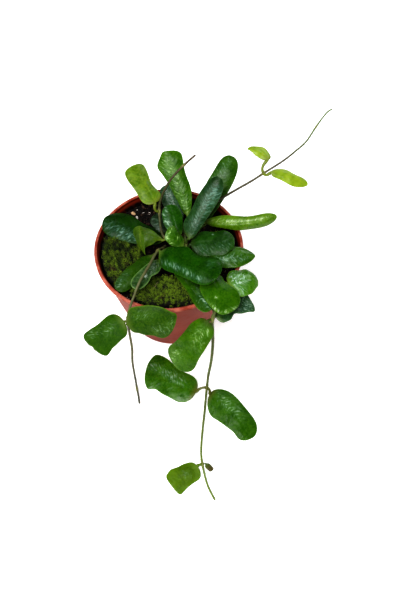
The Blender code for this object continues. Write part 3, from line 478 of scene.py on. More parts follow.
# Each shade's colours and finish, and what every leaf has if its own entry doesn't say otherwise, which
# includes how strong and what colour its painted sheen and painted glints are
LOOK_KEYS = (
    "main", "dark", "light", "under", "stalk_green", "roughness", "pucker", "grain", "glow", "wax",
)
LEAF_LOOKS = {
    "young": ((100, 134, 16), (76, 112, 6), (142, 166, 50), (124, 152, 46), (116, 130, 44),
        0.36, 0.5, 0.4, 0.08, 0.4),
    "fresh": ((92, 132, 12), (70, 112, 5), (136, 164, 44), (106, 142, 46), (104, 126, 40),
        0.28, 0.8, 0.7, 0.06, 0.5),
    "bright": ((66, 112, 4), (46, 92, 1), (104, 140, 32), (94, 134, 50), (98, 124, 42),
        0.27, 0.8, 0.8, 0.04, 0.5),
    "mid": ((48, 88, 2), (30, 70, 1), (82, 118, 26), (78, 116, 46), (92, 114, 44),
        0.27, 0.8, 0.8, 0.03, 0.5),
    "olive": ((70, 100, 6), (50, 80, 3), (110, 138, 34), (104, 132, 40), (104, 122, 40),
        0.34, 0.5, 0.5, 0.05, 0.4),
    "dark": ((25, 68, 1), (14, 50, 1), (58, 100, 22), (62, 98, 42), (80, 102, 42),
        0.28, 0.8, 0.8, 0.02, 0.5),
    "blue": ((34, 68, 24), (20, 50, 14), (68, 104, 58), (72, 102, 60), (78, 98, 46),
        0.3, 0.9, 1.0, 0.02, 0.55),
}
LEAF_GREENS = ("dark", "main", "light", "under", "stalk_green")
# Defaults for every leaf, among them how strong and what colour its painted sheen and painted glints of
# reflected light are.
LEAF_LOOKS_AND_PAINTED_LIGHT = dict(
    tone=1.0, net=0.12, margin=0.55, crinkle=0.6, painted_light=(), painted_sheen=0.5, painted_sparkle=0.55, painted_sheen_colour=(112, 146, 122),
    painted_glint_colour=(176, 204, 176),
)
YOUNG_SHADES = ("young", "olive")

# Each stem's green, brown and the colour of its end
STEM_LOOKS = {
    "stem_trailing_left": ((96, 100, 60), (86, 78, 50), (80, 80, 66)),
    "stem_trailing_right": ((84, 98, 42), (88, 88, 46), (106, 124, 50)),
    "stem_arching": ((70, 76, 34), (66, 56, 34), (84, 70, 52)),
    "stem_rising_right": ((80, 78, 52), (78, 66, 50), (92, 112, 50)),
    "other": ((76, 92, 40), (82, 74, 44), (92, 112, 50)),
}
NODE_COLOUR = (128, 126, 68)

# Stage
FLOOR_SIZE = 40.0
FLOOR_COLOUR = (0.95, 0.95, 0.945, 1)
FLOOR_GLOW = 0.35  # the floor is a light table, so that it stays white under the plant
SURROUND = 0.12
LIT_PLACE = (0, 0, 0.08)
# Each soft box: name, place, size, power and colour
SOFTBOXES = [
    ("overhead", (-0.26, -0.45, 1.05), (0.75, 0.7), 12.5, (1, 1, 1)),
    ("back", (0.5, 0.75, 0.72), (0.45, 0.4), 3.0, (0.88, 0.95, 1)),
    ("front", (-0.8, -0.75, 0.45), (0.4, 0.4), 0.9, (1, 1, 1)),
]


def srgb(*colour):
    """A linear colour with alpha, from the 0 to 255 values that a screen shows."""
    shares = [value / 255 for value in colour]
    return (*(v / 12.92 if v <= 0.04045 else ((v + 0.055) / 1.055) ** 2.4 for v in shares), 1.0)


class Nodes:
    """A material's node tree, with short ways to add what the materials here need."""

    def __init__(self, name):
        self.material = bpy.data.materials.new(name)
        self.material.use_nodes = True
        self.tree = self.material.node_tree
        self.place = self.add("ShaderNodeTexCoord").outputs["Object"]

    def add(self, kind, **values):
        node = self.tree.nodes.new(kind)
        for key, value in values.items():
            setattr(node, key, value)
        return node

    def link(self, source, target):
        """Another node's output, a value, or a screen colour of three parts, into an input."""
        if isinstance(source, bpy.types.NodeSocket):
            self.tree.links.new(source, target)
        else:
            screen = isinstance(source, tuple) and len(source) == 3
            target.default_value = srgb(*source) if screen else source

    def fill(self, node, inputs):
        for key, value in inputs.items():
            self.link(value, node.inputs[key])
        return node

    def attribute(self, name):
        return self.add("ShaderNodeAttribute", attribute_name=name).outputs["Fac"]

    def blade_place(self, stretch):
        """A place on a blade: along its veins' slant in x and across it in y, which is drawn out."""
        along = self.math("MULTIPLY", self.attribute("slanted"), MM)
        across = self.math("MULTIPLY", self.attribute("across"), MM / stretch)
        inputs = {"X": along, "Y": across, "Z": self.attribute("shift")}
        return self.fill(self.add("ShaderNodeCombineXYZ"), inputs).outputs["Vector"]

    def noise(self, size, detail=3.0, rough=0.55, place=None):
        """Smooth noise whose lumps are about size millimetres across."""
        inputs = {"Vector": place or self.place, "Scale": 1 / (size * MM), "Detail": detail}
        inputs["Roughness"] = rough
        return self.fill(self.add("ShaderNodeTexNoise"), inputs).outputs["Fac"]

    def spread(self, value, low, high, to_low=0.0, to_high=1.0):
        """The value, with its range from low to high stretched to run from to_low to to_high."""
        inputs = {"Value": value, "From Min": low, "From Max": high, "To Min": to_low, "To Max": to_high}
        return self.fill(self.add("ShaderNodeMapRange", clamp=True), inputs).outputs["Result"]

    def patches(self, size, low, high, detail=4.0, rough=0.55):
        """Soft patches: noise, with its range from low to high stretched to run from 0 to 1."""
        return self.spread(self.noise(size, detail, rough), low, high)

    def math(self, operation, first, second):
        inputs = {0: first, 1: second}
        return self.fill(self.add("ShaderNodeMath", operation=operation), inputs).outputs["Value"]

    def mix(self, share, first, second, amount=1.0):
        """Two colours mixed by a share, or by some amount of it."""
        if amount != 1.0:
            share = self.math("MULTIPLY", share, amount)
        inputs = {"Factor": share, "A": first, "B": second}
        return self.fill(self.add("ShaderNodeMix", data_type="RGBA"), inputs).outputs["Result"]

    def bump(self, height, depth, strength, over=None):
        """Surface relief from a height of 0 to 1 that stands for depth millimetres."""
        inputs = {"Strength": strength, "Distance": depth * MM, "Height": height}
        if over:
            inputs["Normal"] = over
        return self.fill(self.add("ShaderNodeBump"), inputs).outputs["Normal"]

    def grain(self, size, depth, strength, detail=3.0, over=None):
        """Relief from noise."""
        return self.bump(self.noise(size, detail), depth, strength, over)

    def finish(self, colour, roughness, normal=None, wax=PLAIN_WAX, fixed=None):
        inputs = {"Base Color": colour, "Roughness": roughness, "Specular IOR Level": wax, **(fixed or {})}
        if normal:
            inputs["Normal"] = normal
        self.fill(self.tree.nodes["Principled BSDF"], inputs)
        return self.material


def leaf_material(name, look):
    """A waxy blade: mottled green, paler at its margin and duller below, with a broken gloss and painted
    sheen, glints and shade.
    """
    made = Nodes(name)
    dark, main, light, under, stalk = (
        tuple(min(255, value * look["tone"]) for value in look[key]) for key in LEAF_GREENS
    )
    patch = made.attribute("painted_light")
    painted_light = made.spread(patch, 0.0, 1.0)
    streaks = made.noise(1.4, place=made.blade_place(STREAK_STRETCH))
    colour = made.mix(made.patches(8.0, 0.36, 0.64), dark, main)
    colour = made.mix(made.patches(1.3, 0.4, 0.72, detail=3.0), colour, light, 0.3)
    colour = made.mix(made.attribute("vein"), colour, light, look["net"])
    # Painted shade: where a patch is below 0, the colour is darkened towards the dark green, as along a
    # crease or a fold.
    colour = made.mix(made.spread(patch, -1.0, 0.0, 0.8, 0.0), colour, dark)
    # Painted sheen: a pale veil of reflected light, broken by the streaks, mixed into the colour where
    # patches are above 0.
    painted_sheen = made.math("MULTIPLY", painted_light, made.spread(streaks, 0.45, 0.57, 0.2, 1.0))
    colour = made.mix(painted_sheen, colour, look["painted_sheen_colour"], look["painted_sheen"])
    # Painted glints: bright flecks of reflected light where the streaks peak, and all over the strongest
    # patches.
    painted_sparkle = made.math("MULTIPLY", painted_light, made.spread(streaks, 0.57, 0.64))
    painted_sparkle = made.math("MAXIMUM", painted_sparkle, made.spread(patch, 1.1, 1.4))
    colour = made.mix(painted_sparkle, colour, look["painted_glint_colour"], look["painted_sparkle"])
    margin = made.math("POWER", made.attribute("margin"), 3.0)
    colour = made.mix(margin, colour, light, look["margin"])
    colour = made.mix(made.attribute("under"), colour, under)
    colour = made.mix(made.attribute("stalk"), colour, stalk)
    pucker = made.bump(streaks, 0.16, look["pucker"])
    normal = made.grain(0.7, 0.06, look["grain"], detail=2.0, over=pucker)
    blotch = made.patches(4.0, 0.36, 0.62, rough=0.65)
    roughness = made.spread(blotch, 0.0, 1.0, look["roughness"] - 0.07, look["roughness"] + 0.13)
    below = {"Subsurface Weight": look["glow"], "Subsurface Scale": LEAF_DEPTH * MM}
    return made.finish(colour, roughness, normal, look["wax"], below)


def stem_material(name, green, brown, end):
    """Thin bark over green, in patches of brown, with paler nodes and an end of its own colour."""
    made = Nodes(name)
    blotch = made.patches(3.0, 0.4, 0.66)
    colour = made.mix(blotch, green, brown, 0.8)
    colour = made.mix(made.spread(made.attribute("place"), 0.7, 0.88), colour, end)
    colour = made.mix(made.attribute("node"), colour, NODE_COLOUR, 0.7)
    return made.finish(colour, made.spread(blotch, 0.0, 1.0, 0.5, 0.72), made.grain(0.7, 0.2, 0.8))


def pot_material():
    """Moulded terracotta-coloured plastic, with some dust, a paler rim that is partly rubbed and partly
    painted light, and an inner wall painted dark as shade, darker still towards the soil.
    """
    made = Nodes("pot_plastic")
    dust = made.patches(5.0, 0.52, 0.78, detail=6.0, rough=0.7)
    colour = made.mix(made.patches(26.0, 0.35, 0.7), (134, 46, 22), (146, 56, 30))
    colour = made.mix(dust, colour, (190, 120, 96), 0.1)
    # The rim is paler: partly rubbed plastic, and partly painted light falling on its top with a painted
    # highlight along its edge.
    rubbed_and_lit_rim = made.mix(made.patches(7.0, 0.4, 0.66), (146, 66, 50), (190, 114, 96))
    colour = made.mix(made.attribute("rim"), colour, rubbed_and_lit_rim)
    # Inner wall: painted shade inside the pot, darker still towards the soil, with an uneven edge.
    place = made.fill(made.add("ShaderNodeSeparateXYZ"), {"Vector": made.place})
    uneven = made.spread(made.noise(6.0), 0.3, 0.7, -SOIL_DARKENING_UNEVEN * MM, SOIL_DARKENING_UNEVEN * MM)
    height = made.math("ADD", place.outputs["Z"], uneven)
    soil_darkening = made.spread(height, *((SOIL_LEVEL + above) * MM for above in SOIL_DARKENING_HEIGHTS), 1.0, 0.0)
    inner = made.mix(soil_darkening, (78, 26, 18), (22, 13, 10))
    colour = made.mix(made.attribute("inside"), colour, inner)
    normal = made.grain(0.6, 0.05, 0.5, detail=2.0, over=made.grain(14.0, 0.6, 0.25))
    return made.finish(colour, made.spread(dust, 0.0, 1.0, 0.5, 0.64), normal, 0.12)


def soil_material():
    made = Nodes("potting_soil")
    colour = made.mix(made.patches(3.2, 0.38, 0.66, detail=5.0), (12, 9, 8), (34, 26, 21))
    colour = made.mix(made.patches(0.9, 0.66, 0.76, detail=3.0), colour, (120, 100, 82), 0.5)
    normal = made.bump(made.noise(0.8, detail=5.0, rough=0.7), 0.5, 0.9)
    return made.finish(colour, 0.92, normal, 0.25)


def crumb_material():
    """Bark and peat crumbs, each of its own brown."""
    made = Nodes("soil_crumbs")
    colour = made.mix(made.attribute("tone"), (14, 10, 9), (78, 58, 44))
    colour = made.mix(made.patches(0.7, 0.5, 0.75, detail=3.0), colour, (40, 30, 24), 0.4)
    return made.finish(colour, 0.9, made.grain(0.5, 0.3, 0.8, detail=4.0), 0.3)


def patchy_material(name, dark, light, roughness, patches, grain):
    """Two shades in soft patches, with a fine relief."""
    made = Nodes(name)
    colour = made.mix(made.patches(*patches), dark, light)
    return made.finish(colour, roughness, made.grain(*grain, detail=4.0))


def moss_material():
    """Moss leaves: dark at the root, yellow-green at the tip, each shoot a little different."""
    made = Nodes("moss_shoots")
    fresh = made.mix(made.attribute("tone"), (24, 58, 5), (184, 220, 62))
    fresh = made.mix(made.attribute("dry"), fresh, (120, 92, 54))
    colour = made.mix(made.math("POWER", made.attribute("tip"), 1.2), (14, 18, 7), fresh)
    return made.finish(colour, 0.62)


def straw_material():
    made = Nodes("dry_straw")
    colour = made.mix(made.noise(1.5), (150, 132, 98), (196, 184, 152))
    return made.finish(colour, 0.8, made.grain(0.5, 0.1, 0.6))


def add_object(name, data):
    made = bpy.data.objects.new(name, data)
    bpy.context.scene.collection.objects.link(made)
    return made


def add_attributes(mesh, attributes):
    for key, values in attributes.items():
        made = mesh.attributes.new(key, "FLOAT", "POINT")
        made.data.foreach_set("value", np.asarray(values, np.float32))


def add_piece(name, points, faces, material, replaces=(), slot=None, **attributes):
    """A shown piece from points in millimetres. It rides on the model's one body."""
    mesh = bpy.data.meshes.new(name)
    mesh.from_pydata((np.asarray(points, float) * MM).tolist(), [], faces)
    mesh.materials.append(material)
    add_attributes(mesh, attributes)
    mesh.shade_smooth()
    piece = add_object(name, mesh)
    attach(piece, "root")
    if replaces:
        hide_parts(*replaces)
    return piece


def clamp(share):
    return min(max(share, 0), 1)


def bell(distance, width):
    """1 at no distance, falling smoothly to about 0 at twice the width."""
    return math.exp(-((distance / width) ** 2))


def dome(share):
    """The height of a quarter circle: 0 at 0, and 1 from 1 on."""
    return math.sqrt(1 - max(0, 1 - share) ** 2)


def square_to(vector, line):
    """The direction of what a vector has square to a line."""
    return (vector - line * vector.dot(line)).normalized()


def lumps(x, y, size, layer):
    """Smooth noise over the ground, from about -1 to 1. Each layer is different."""
    return noise.noise(Vector((x / size, y / size, layer)))


def tube_faces(rings, sides):
    """The quads between rings of points, and a face on each end."""
    faces = []
    for ring in range(rings - 1):
        a, b = ring * sides, (ring + 1) * sides
        faces += [[a + i, a + (i + 1) % sides, b + (i + 1) % sides, b + i] for i in range(sides)]
    faces.append(list(range(sides))[::-1])
    faces.append([(rings - 1) * sides + i for i in range(sides)])
    return faces


def smooth_route(points, step):
    """Points a step apart on a smooth curve through the route's own points."""
    route = [Vector(p) for p in points]
    route = [2 * route[0] - route[1], *route, 2 * route[-1] - route[-2]]
    fine = []
    for a, b, c, d in zip(route, route[1:], route[2:], route[3:]):
        linear, square, cube = c - a, 2 * a - 5 * b + 4 * c - d, 3 * b - a - 3 * c + d
        for k in range(CURVE_STEPS):
            t = k / CURVE_STEPS
            fine.append(b + 0.5 * (linear * t + square * t**2 + cube * t**3))
    fine.append(route[-2])
    run = [0.0]
    for a, b in zip(fine, fine[1:]):
        run.append(run[-1] + (b - a).length)
    count = max(2, round(run[-1] / step))
    even, k = [], 0
    for i in range(count + 1):
        target = run[-1] * i / count
        while k < len(run) - 2 and run[k + 1] < target:
            k += 1
        share = (target - run[k]) / (run[k + 1] - run[k])
        even.append(fine[k].lerp(fine[k + 1], share))
    return even


class Stem:
    """A stem's route, with its radius and direction at any distance from the soil."""

    def __init__(self, spec):
        x, y = spec["route"][0][:2]
        low = SOIL_LEVEL - STEM_DEPTH
        start = [(x, y, low), (x, y, low + 0.5 * STEM_DEPTH), (x, y, SOIL_LEVEL - STEM_STRAIGHT)]
        self.radii = spec["radii"]
        self.line = smooth_route(start + spec["route"], 1.0)
        self.length = sum((b - a).length for a, b in zip(self.line, self.line[1:]))
        self.spacing = self.length / (len(self.line) - 1)
        self.places = [self.nearest(Vector(point)) for point in spec["route"]]
        self.nodes = [self.places[k] for k in spec["nodes"]]

    def nearest(self, point):
        """How far along the stem it passes closest to a point."""
        distances = [(place - point).length for place in self.line]
        return distances.index(min(distances)) * self.spacing

    def node_share(self, distance):
        """1 at a node, falling to 0 a few millimetres away."""
        return max(bell(distance - node, NODE_LENGTH) for node in self.nodes)

    def at(self, distance):
        """The point, direction and radius at a distance along the stem."""
        place = min(max(distance / self.spacing, 0), len(self.line) - 1.001)
        k = int(place)
        point = self.line[k].lerp(self.line[k + 1], place - k)
        before, after = self.line[max(k - 2, 0)], self.line[min(k + 3, len(self.line) - 1)]
        share = distance / self.length
        radius = self.radii[0] * (1 - share) + self.radii[1] * share
        for node in self.nodes:
            radius *= 1 + NODE_SWELLING * bell(distance - node, NODE_LENGTH)
        return point, (after - before).normalized(), radius


def make_stem(name, stem, material):
    """A stem with a slightly uneven bark, a ring below each node and a worn, rounded tip."""
    count = round(stem.length / STEM_STEP)
    points, rows = [], []
    side = Vector((1, 0, 0))
    for ring in range(count + 1):
        place = stem.length * ring / count
        centre, forward, radius = stem.at(place)
        radius *= dome(max(stem.length - place, LEAST_TIP) / (1.5 * radius))
        for node in stem.nodes:
            radius *= 1 + RING_SWELLING * bell(place - node + 1.5 * NODE_LENGTH, RING_LENGTH)
        side = square_to(side, forward)
        other = forward.cross(side)
        for i in range(STEM_SIDES):
            angle = math.tau * i / STEM_SIDES
            out = math.cos(angle) * side + math.sin(angle) * other
            uneven = 1 + 0.10 * noise.noise(Vector((2 * angle, place / 5, stem.length)))
            uneven += 0.06 * noise.noise(Vector((5 * math.cos(angle), 5 * math.sin(angle), place / 1.6)))
            points.append(centre + out * radius * uneven)
            rows.append((stem.node_share(place), ring / count))
    add_piece(
        name + "_bark", points, tube_faces(count + 1, STEM_SIDES), material,
        replaces=[name], slot="stem_bark", **dict(zip(("node", "place"), zip(*rows))),
    )


def rounded(share, power):
    """A superellipse's quarter: 0 at 0 and 1 at 1."""
    return (1 - (1 - clamp(share)) ** power) ** (1 / power)


def half_width(leaf, t, s):
    """How far the blade reaches at a share t of its length, to the left if s is above 0."""
    side = "left" if s > 0 else "right"
    base = rounded(t / leaf["wedge"], 2.5 - leaf["wedge"])
    tip = rounded((1 - t) / (TIP_ROUNDING - TIP_SQUARING * leaf["square"]), 2.4 + leaf["square"])
    share = (1 - leaf["waist"] * math.sin(math.pi * t) ** 2) * (1 - leaf["flare"] * (1 - t))
    for dented, place, depth, spread in leaf["dents"]:
        if dented == side:
            share -= depth * bell(t - place, spread)
    return max(0.5 * leaf["width"] * base * tip * share, NARROWEST)


def direction(heading, rise):
    level = math.cos(rise)
    return Vector((level * math.cos(heading), level * math.sin(heading), math.sin(rise)))


class Midrib:
    """The curved line that a blade follows from its base to its tip, with its left and up directions."""

    def __init__(self, leaf, base):
        self.droop, self.sway = math.radians(leaf["droop"]), math.radians(leaf["sway"])
        self.roll, self.hook = math.radians(leaf["roll"]), math.radians(leaf["hook"])
        chord = Vector(leaf["tip"]) - base
        self.heading = math.atan2(chord.y, chord.x)
        self.rise = math.asin(chord.z / chord.length)
        for _ in range(3):
            unit = self.walk(Vector((0, 0, 0)), 1 / MIDRIB_STEPS)[-1]
            self.heading += math.atan2(chord.y, chord.x) - math.atan2(unit.y, unit.x)
            self.rise += math.asin(chord.z / chord.length) - math.asin(unit.z / unit.length)
        self.length = chord.length / unit.length
        self.points = self.walk(base, self.length / MIDRIB_STEPS)

    def walk(self, start, step):
        points = [start]
        for i in range(MIDRIB_STEPS):
            points.append(points[-1] + self.forward((i + 0.5) / MIDRIB_STEPS) * step)
        return points

    def forward(self, t):
        hooked = self.hook * clamp((t - HOOK_START) / HOOK_SHARE)
        heading = self.heading + self.sway * (t - 0.5)
        return direction(heading, self.rise - self.droop * (t - 0.5) - hooked)

    def frame(self, t):
        """The point at t, with the forward, left and up directions there."""
        place = clamp(t) * MIDRIB_STEPS
        k = min(int(place), MIDRIB_STEPS - 1)
        point = self.points[k].lerp(self.points[k + 1], place - k)
        forward = self.forward(t)
        level = Vector((-forward.y, forward.x, 0)).normalized()
        left = Matrix.Rotation(self.roll, 3, forward) @ level
        return point, forward, left, forward.cross(left)


def blade_section(leaf, t, s, half):
    """How far ahead, left and above the midrib a point s of the way across lies, and its outward tilt.

    s runs from -1 at the right edge to 1 at the left one."""
    bend = math.radians(leaf["curl"]) * s
    if abs(bend) < FLAT:
        across, drop = half * s, 0
    else:
        across = half * s * math.sin(bend) / bend
        drop = half * s * (1 - math.cos(bend)) / bend
    ahead = leaf["skew"] * across * t**2 + leaf["notch"] * s**2 * t**4
    return ahead, across, -drop, bend


class Relief:
    """The fine forms of one blade: broad swells, a net of veins with pillows between, and a wavy margin."""

    def __init__(self, leaf, length, seed):
        self.length, self.seed, self.crinkle = length, seed, leaf["crinkle"]
        self.size = min(1, leaf["width"] / PLAIN_WIDTH)
        self.waves = 1.3 + 0.25 * (seed % 4)

    def vein(self, along, across):
        """1 on a vein of the irregular net and 0 on the pillows between, faint near the midrib."""
        cell = Vector((along / VEIN_SPACING, across / VEIN_LENGTH, 5.3 * self.seed))
        near, second = noise.voronoi(cell)[0][:2]
        return bell(second - near, VEIN_WIDTH)

    def height(self, t, s, half):
        """How far the upper face stands above a smooth blade, and how strong a vein is there."""
        along, across = t * self.length, s * half
        spot = Vector((along, across, 3.1 * self.seed))
        bent = Vector((along - VEIN_SLANT * abs(across), across, 5.3 * self.seed))
        places = [bent / VEIN_WANDER_SIZE + Vector(shift) for shift in WANDER_SHIFTS]
        bent += VEIN_WANDER * Vector([noise.noise(place) for place in places])
        vein = self.vein(bent.x, bent.y)
        fade = min(1, along / VEIN_FADE) * (1 - abs(s) ** 6)
        groove = GROOVE_DEPTH * bell(across, GROOVE_WIDTH) * (1 - 0.7 * t)
        swells = SWELL * (0.5 + 0.5 * self.crinkle) * noise.noise(spot / SWELL_SIZE)
        spot = Vector((bent.x / WRINKLE_WIDTH, bent.y / WRINKLE_LENGTH, self.seed))
        wrinkles = WRINKLE * noise.noise(spot)
        return self.size * fade * (swells + self.crinkle * wrinkles - groove - VEIN_DEPTH * vein), vein

    def wave(self, t, s):
        """How far the margin is lifted."""
        phase = self.seed * 1.7 + (1.1 if s > 0 else 0)
        sway = math.sin(math.tau * self.waves * t + phase) * math.sin(math.pi * t)
        return self.size * WAVE * abs(s) ** 3 * sway


def leaf_start(leaf, stem):
    """Where the petiole leaves the stem, where it bends, and the midrib of the blade after it."""
    point, along, radius = stem.at(stem.places[leaf["node"]])
    forward = (Vector(leaf["tip"]) - point).normalized()
    for _ in range(3):
        aim = Vector(leaf["stalk"]) if leaf["stalk"] else forward
        out = square_to(aim, along)
        start = point + out * (radius + GAP)
        base = point + aim if leaf["stalk"] else start + (out + forward) * 0.5 * leaf["petiole"]
        midrib = Midrib(leaf, base)
        forward = midrib.forward(0)
    bend = start + out * 0.5 * (base - start).length
    return start - out * PETIOLE_SUNK, bend, base, midrib


def patch_share(patches, t, s):
    """How much painted light a point of the blade has from its patches: painted sheen and glints above 0,
    painted shade below 0.
    """
    share = 0
    for middle, side, along, across, strength in patches:
        share += strength * bell(t - middle, along) * bell(s - side, across)
    return share


def make_leaf(name, leaf, stem, seed, slot):
    """A petiole and a blade as one closed skin, with a rounded margin all the way round."""
    start, bend, base, midrib = leaf_start(leaf, stem)
    relief = Relief(leaf, midrib.length, seed)
    stalk_radius = PETIOLE_RADIUS * min(1, leaf["width"] / NARROW_BLADE)
    angles = [math.pi * (2 * j / BLADE_SIDES - 1) for j in range(BLADE_SIDES)]
    points, rows = [], []
    for k in range(PETIOLE_RINGS):
        t = k / PETIOLE_RINGS
        centre = start * (1 - t) ** 2 + bend * 2 * t * (1 - t) + base * t**2
        forward = ((bend - start) * (1 - t) + (base - bend) * t).normalized()
        left = square_to(midrib.frame(0)[2], forward)
        up = forward.cross(left)
        radius = stalk_radius * (1.12 - 0.3 * math.sin(math.pi * min(1, t + 0.15)))
        for angle in angles:
            points.append(centre + (left * math.cos(angle) + up * math.sin(angle)) * radius)
            rows.append((0, 0, 0, 1, 0, 0, 0, seed))
    for k in range(BLADE_RINGS):
        t = 0.5 * (1 - math.cos(math.pi * (k + 0.02) / BLADE_RINGS))
        centre, forward, left, up = midrib.frame(t)
        along, from_tip = t * midrib.length, (1 - t) * midrib.length
        for angle in angles:
            s, top = math.cos(angle), angle >= 0
            half = half_width(leaf, t, s)
            ahead, across, above, tilt = blade_section(leaf, t, s, half)
            from_side = (1 - abs(s)) * half
            rim = from_side / EDGE_ROUNDING if along > BASE_CAP else 2 * abs(math.sin(angle))
            thick = BLADE_EDGE + (BLADE_MIDDLE * (1 - BLADE_TAPER * t) - BLADE_EDGE) * (1 - s * s)
            thick *= dome(rim) * dome(from_tip / EDGE_ROUNDING)
            height, vein = relief.height(t, s, half)
            out = left * math.sin(tilt) + up * math.cos(tilt)
            middle = centre + forward * ahead + left * across + up * above + out * relief.wave(t, s)
            points.append(middle + out * (0.5 * thick + height if top else -0.5 * thick + 0.3 * height))
            # The seventh value is the painted light from the patches: painted sheen and glints above 0,
            # painted shade below 0.
            rows.append((
                max(1 - min(from_side, from_tip) / MARGIN_WIDTH, 0), vein if top else 0, not top,
                max(0, 1 - along / STALK_GREEN), along - VEIN_SLANT * abs(across), across,
                patch_share(leaf["painted_light"], t, s) if top else 0, seed,
            ))
    add_piece(
        name + "_blade", points, tube_faces(PETIOLE_RINGS + BLADE_RINGS, BLADE_SIDES),
        leaf_material(name, leaf), replaces=[name], slot=slot,
        **dict(zip(BLADE_ATTRIBUTES, zip(*rows))),
    )


def arc(centre, radius, start, end, steps=5):
    """Points of a profile's rounded corner, from one angle to another."""
    made = []
    for k in range(steps + 1):
        angle = math.radians(start + (end - start) * k / steps)
        made.append((centre[0] + radius * math.cos(angle), centre[1] + radius * math.sin(angle)))
    return made


def turned(profile, sides):
    """Points and faces of a profile of (radius, height) turned round Z. A radius of 0 makes one point."""
    points, rows = [], []
    for radius, height in profile:
        if radius == 0:
            rows.append([len(points)] * sides)
            points.append((0, 0, height))
            continue
        rows.append([len(points) + i for i in range(sides)])
        for i in range(sides):
            angle = math.tau * i / sides
            points.append((radius * math.cos(angle), radius * math.sin(angle), height))
    faces = []
    for low, high in zip(rows, rows[1:]):
        for i in range(sides):
            k = (i + 1) % sides
            corners = [low[i], low[k], high[k], high[i]]
            faces.append([c for n, c in enumerate(corners) if c not in corners[:n]])
    return points, faces


def inner_radius(height):
    """Radius of the pot's inner wall at a height."""
    share = (height - FLOOR) / (POT_HEIGHT - RIM_DEPTH - FLOOR)
    return BASE_RADIUS - WALL + share * (BODY_TOP_RADIUS - BASE_RADIUS)


def cut_drains(pot):
    """The drainage holes, cut right through the pot's floor."""
    cutter_mesh = bpy.data.meshes.new("drains")
    cutters = bmesh.new()
    for i in range(DRAIN_HOLES):
        angle = math.tau * (i + 0.5) / DRAIN_HOLES
        x, y = DRAIN_RING_RADIUS * math.cos(angle), DRAIN_RING_RADIUS * math.sin(angle)
        bmesh.ops.create_cone(
            cutters, cap_ends=True, segments=32, radius1=DRAIN_RADIUS * MM, radius2=DRAIN_RADIUS * MM,
            depth=4 * FLOOR * MM, matrix=Matrix.Translation(Vector((x, y, 0)) * MM),
        )
    cutters.to_mesh(cutter_mesh)
    cutters.free()
    cutter = add_object("drains", cutter_mesh)
    modifier = pot.modifiers.new("drains", "BOOLEAN")
    modifier.operation, modifier.object, modifier.solver = "DIFFERENCE", cutter, "EXACT"
    graph = bpy.context.evaluated_depsgraph_get()
    pot.data = bpy.data.meshes.new_from_object(pot.evaluated_get(graph))
    pot.modifiers.clear()
    bpy.data.objects.remove(cutter)


def make_pot():
    """The pot, with a rolled rim, a soft step below it and a rounded foot."""
    under_rim = POT_HEIGHT - RIM_DEPTH
    lip = 0.5 * (RIM_RADIUS - RIM_INNER_RADIUS)
    profile = [(0, 0), (0.5 * BASE_RADIUS, 0)]
    profile += arc((BASE_RADIUS - FOOT_BEVEL, FOOT_BEVEL), FOOT_BEVEL, -90, 0)
    profile += [(BODY_TOP_RADIUS - 0.1, under_rim - 0.5), (BODY_TOP_RADIUS + 0.3, under_rim)]
    profile += arc((RIM_RADIUS - RIM_ROUNDING, under_rim + RIM_ROUNDING), RIM_ROUNDING, -90, 0, 3)
    profile += arc((RIM_RADIUS - lip, POT_HEIGHT - lip), lip, 0, 180, 12)
    profile += [(RIM_INNER_RADIUS, under_rim), (inner_radius(under_rim - SHOULDER), under_rim - SHOULDER)]
    profile += [(inner_radius(height), height) for height in WALL_BENDS]
    profile += arc((inner_radius(FLOOR) - 1, FLOOR + 1), 1, 0, -90, 3)
    profile += [(0.5 * BASE_RADIUS, FLOOR), (0, FLOOR)]
    points, faces = turned(profile, POT_SIDES)
    pot = add_piece("pot_shell", points, faces, pot_material(), replaces=["pot"], slot="pot_plastic")
    cut_drains(pot)
    rims, insides = [], []
    for vertex in pot.data.vertices:
        radius, height = math.hypot(vertex.co.x, vertex.co.y) / MM, vertex.co.z / MM
        rim = height > under_rim - 0.1 and radius > RIM_INNER_RADIUS + 0.2
        rims.append(rim)
        # The inner wall takes the painted shade, and the rim takes its paler, partly painted colour.
        wall = radius < inner_radius(height) + 0.5 * WALL
        insides.append(wall and FLOOR - 0.1 < height < POT_HEIGHT - lip)
    add_attributes(pot.data, {"rim": rims, "inside": insides})
    pot.data.set_sharp_from_angle(angle=math.radians(SHARP_EDGE))


def moss_share(spec, x, y):
    """How far a point is from a moss cushion's middle: 0 in the middle and 1 at its edge."""
    turn = math.radians(spec["turn"])
    dx, dy = x - spec["centre"][0], y - spec["centre"][1]
    along = dx * math.cos(turn) + dy * math.sin(turn)
    across = -dx * math.sin(turn) + dy * math.cos(turn)
    return math.hypot(along / spec["half"][0], across / spec["half"][1])


def soil_height(x, y):
    """Height of the soil: crumbly where it is bare, heaped at one place, and level below the moss."""
    nearest = min(moss_share(spec, x, y) for spec in MOSS.values())
    bare = clamp((nearest - 1.15) / 0.3)
    relief = SOIL_RELIEF * (lumps(x, y, SOIL_LUMP, 3) + 0.6 * lumps(x, y, SOIL_CRUMB, 8))
    from_bank = (Vector((x, y)) - Vector(SOIL_BANK["centre"])).length
    return SOIL_LEVEL + bare * (relief + SOIL_BANK["height"] * bell(from_bank, SOIL_BANK["spread"]))


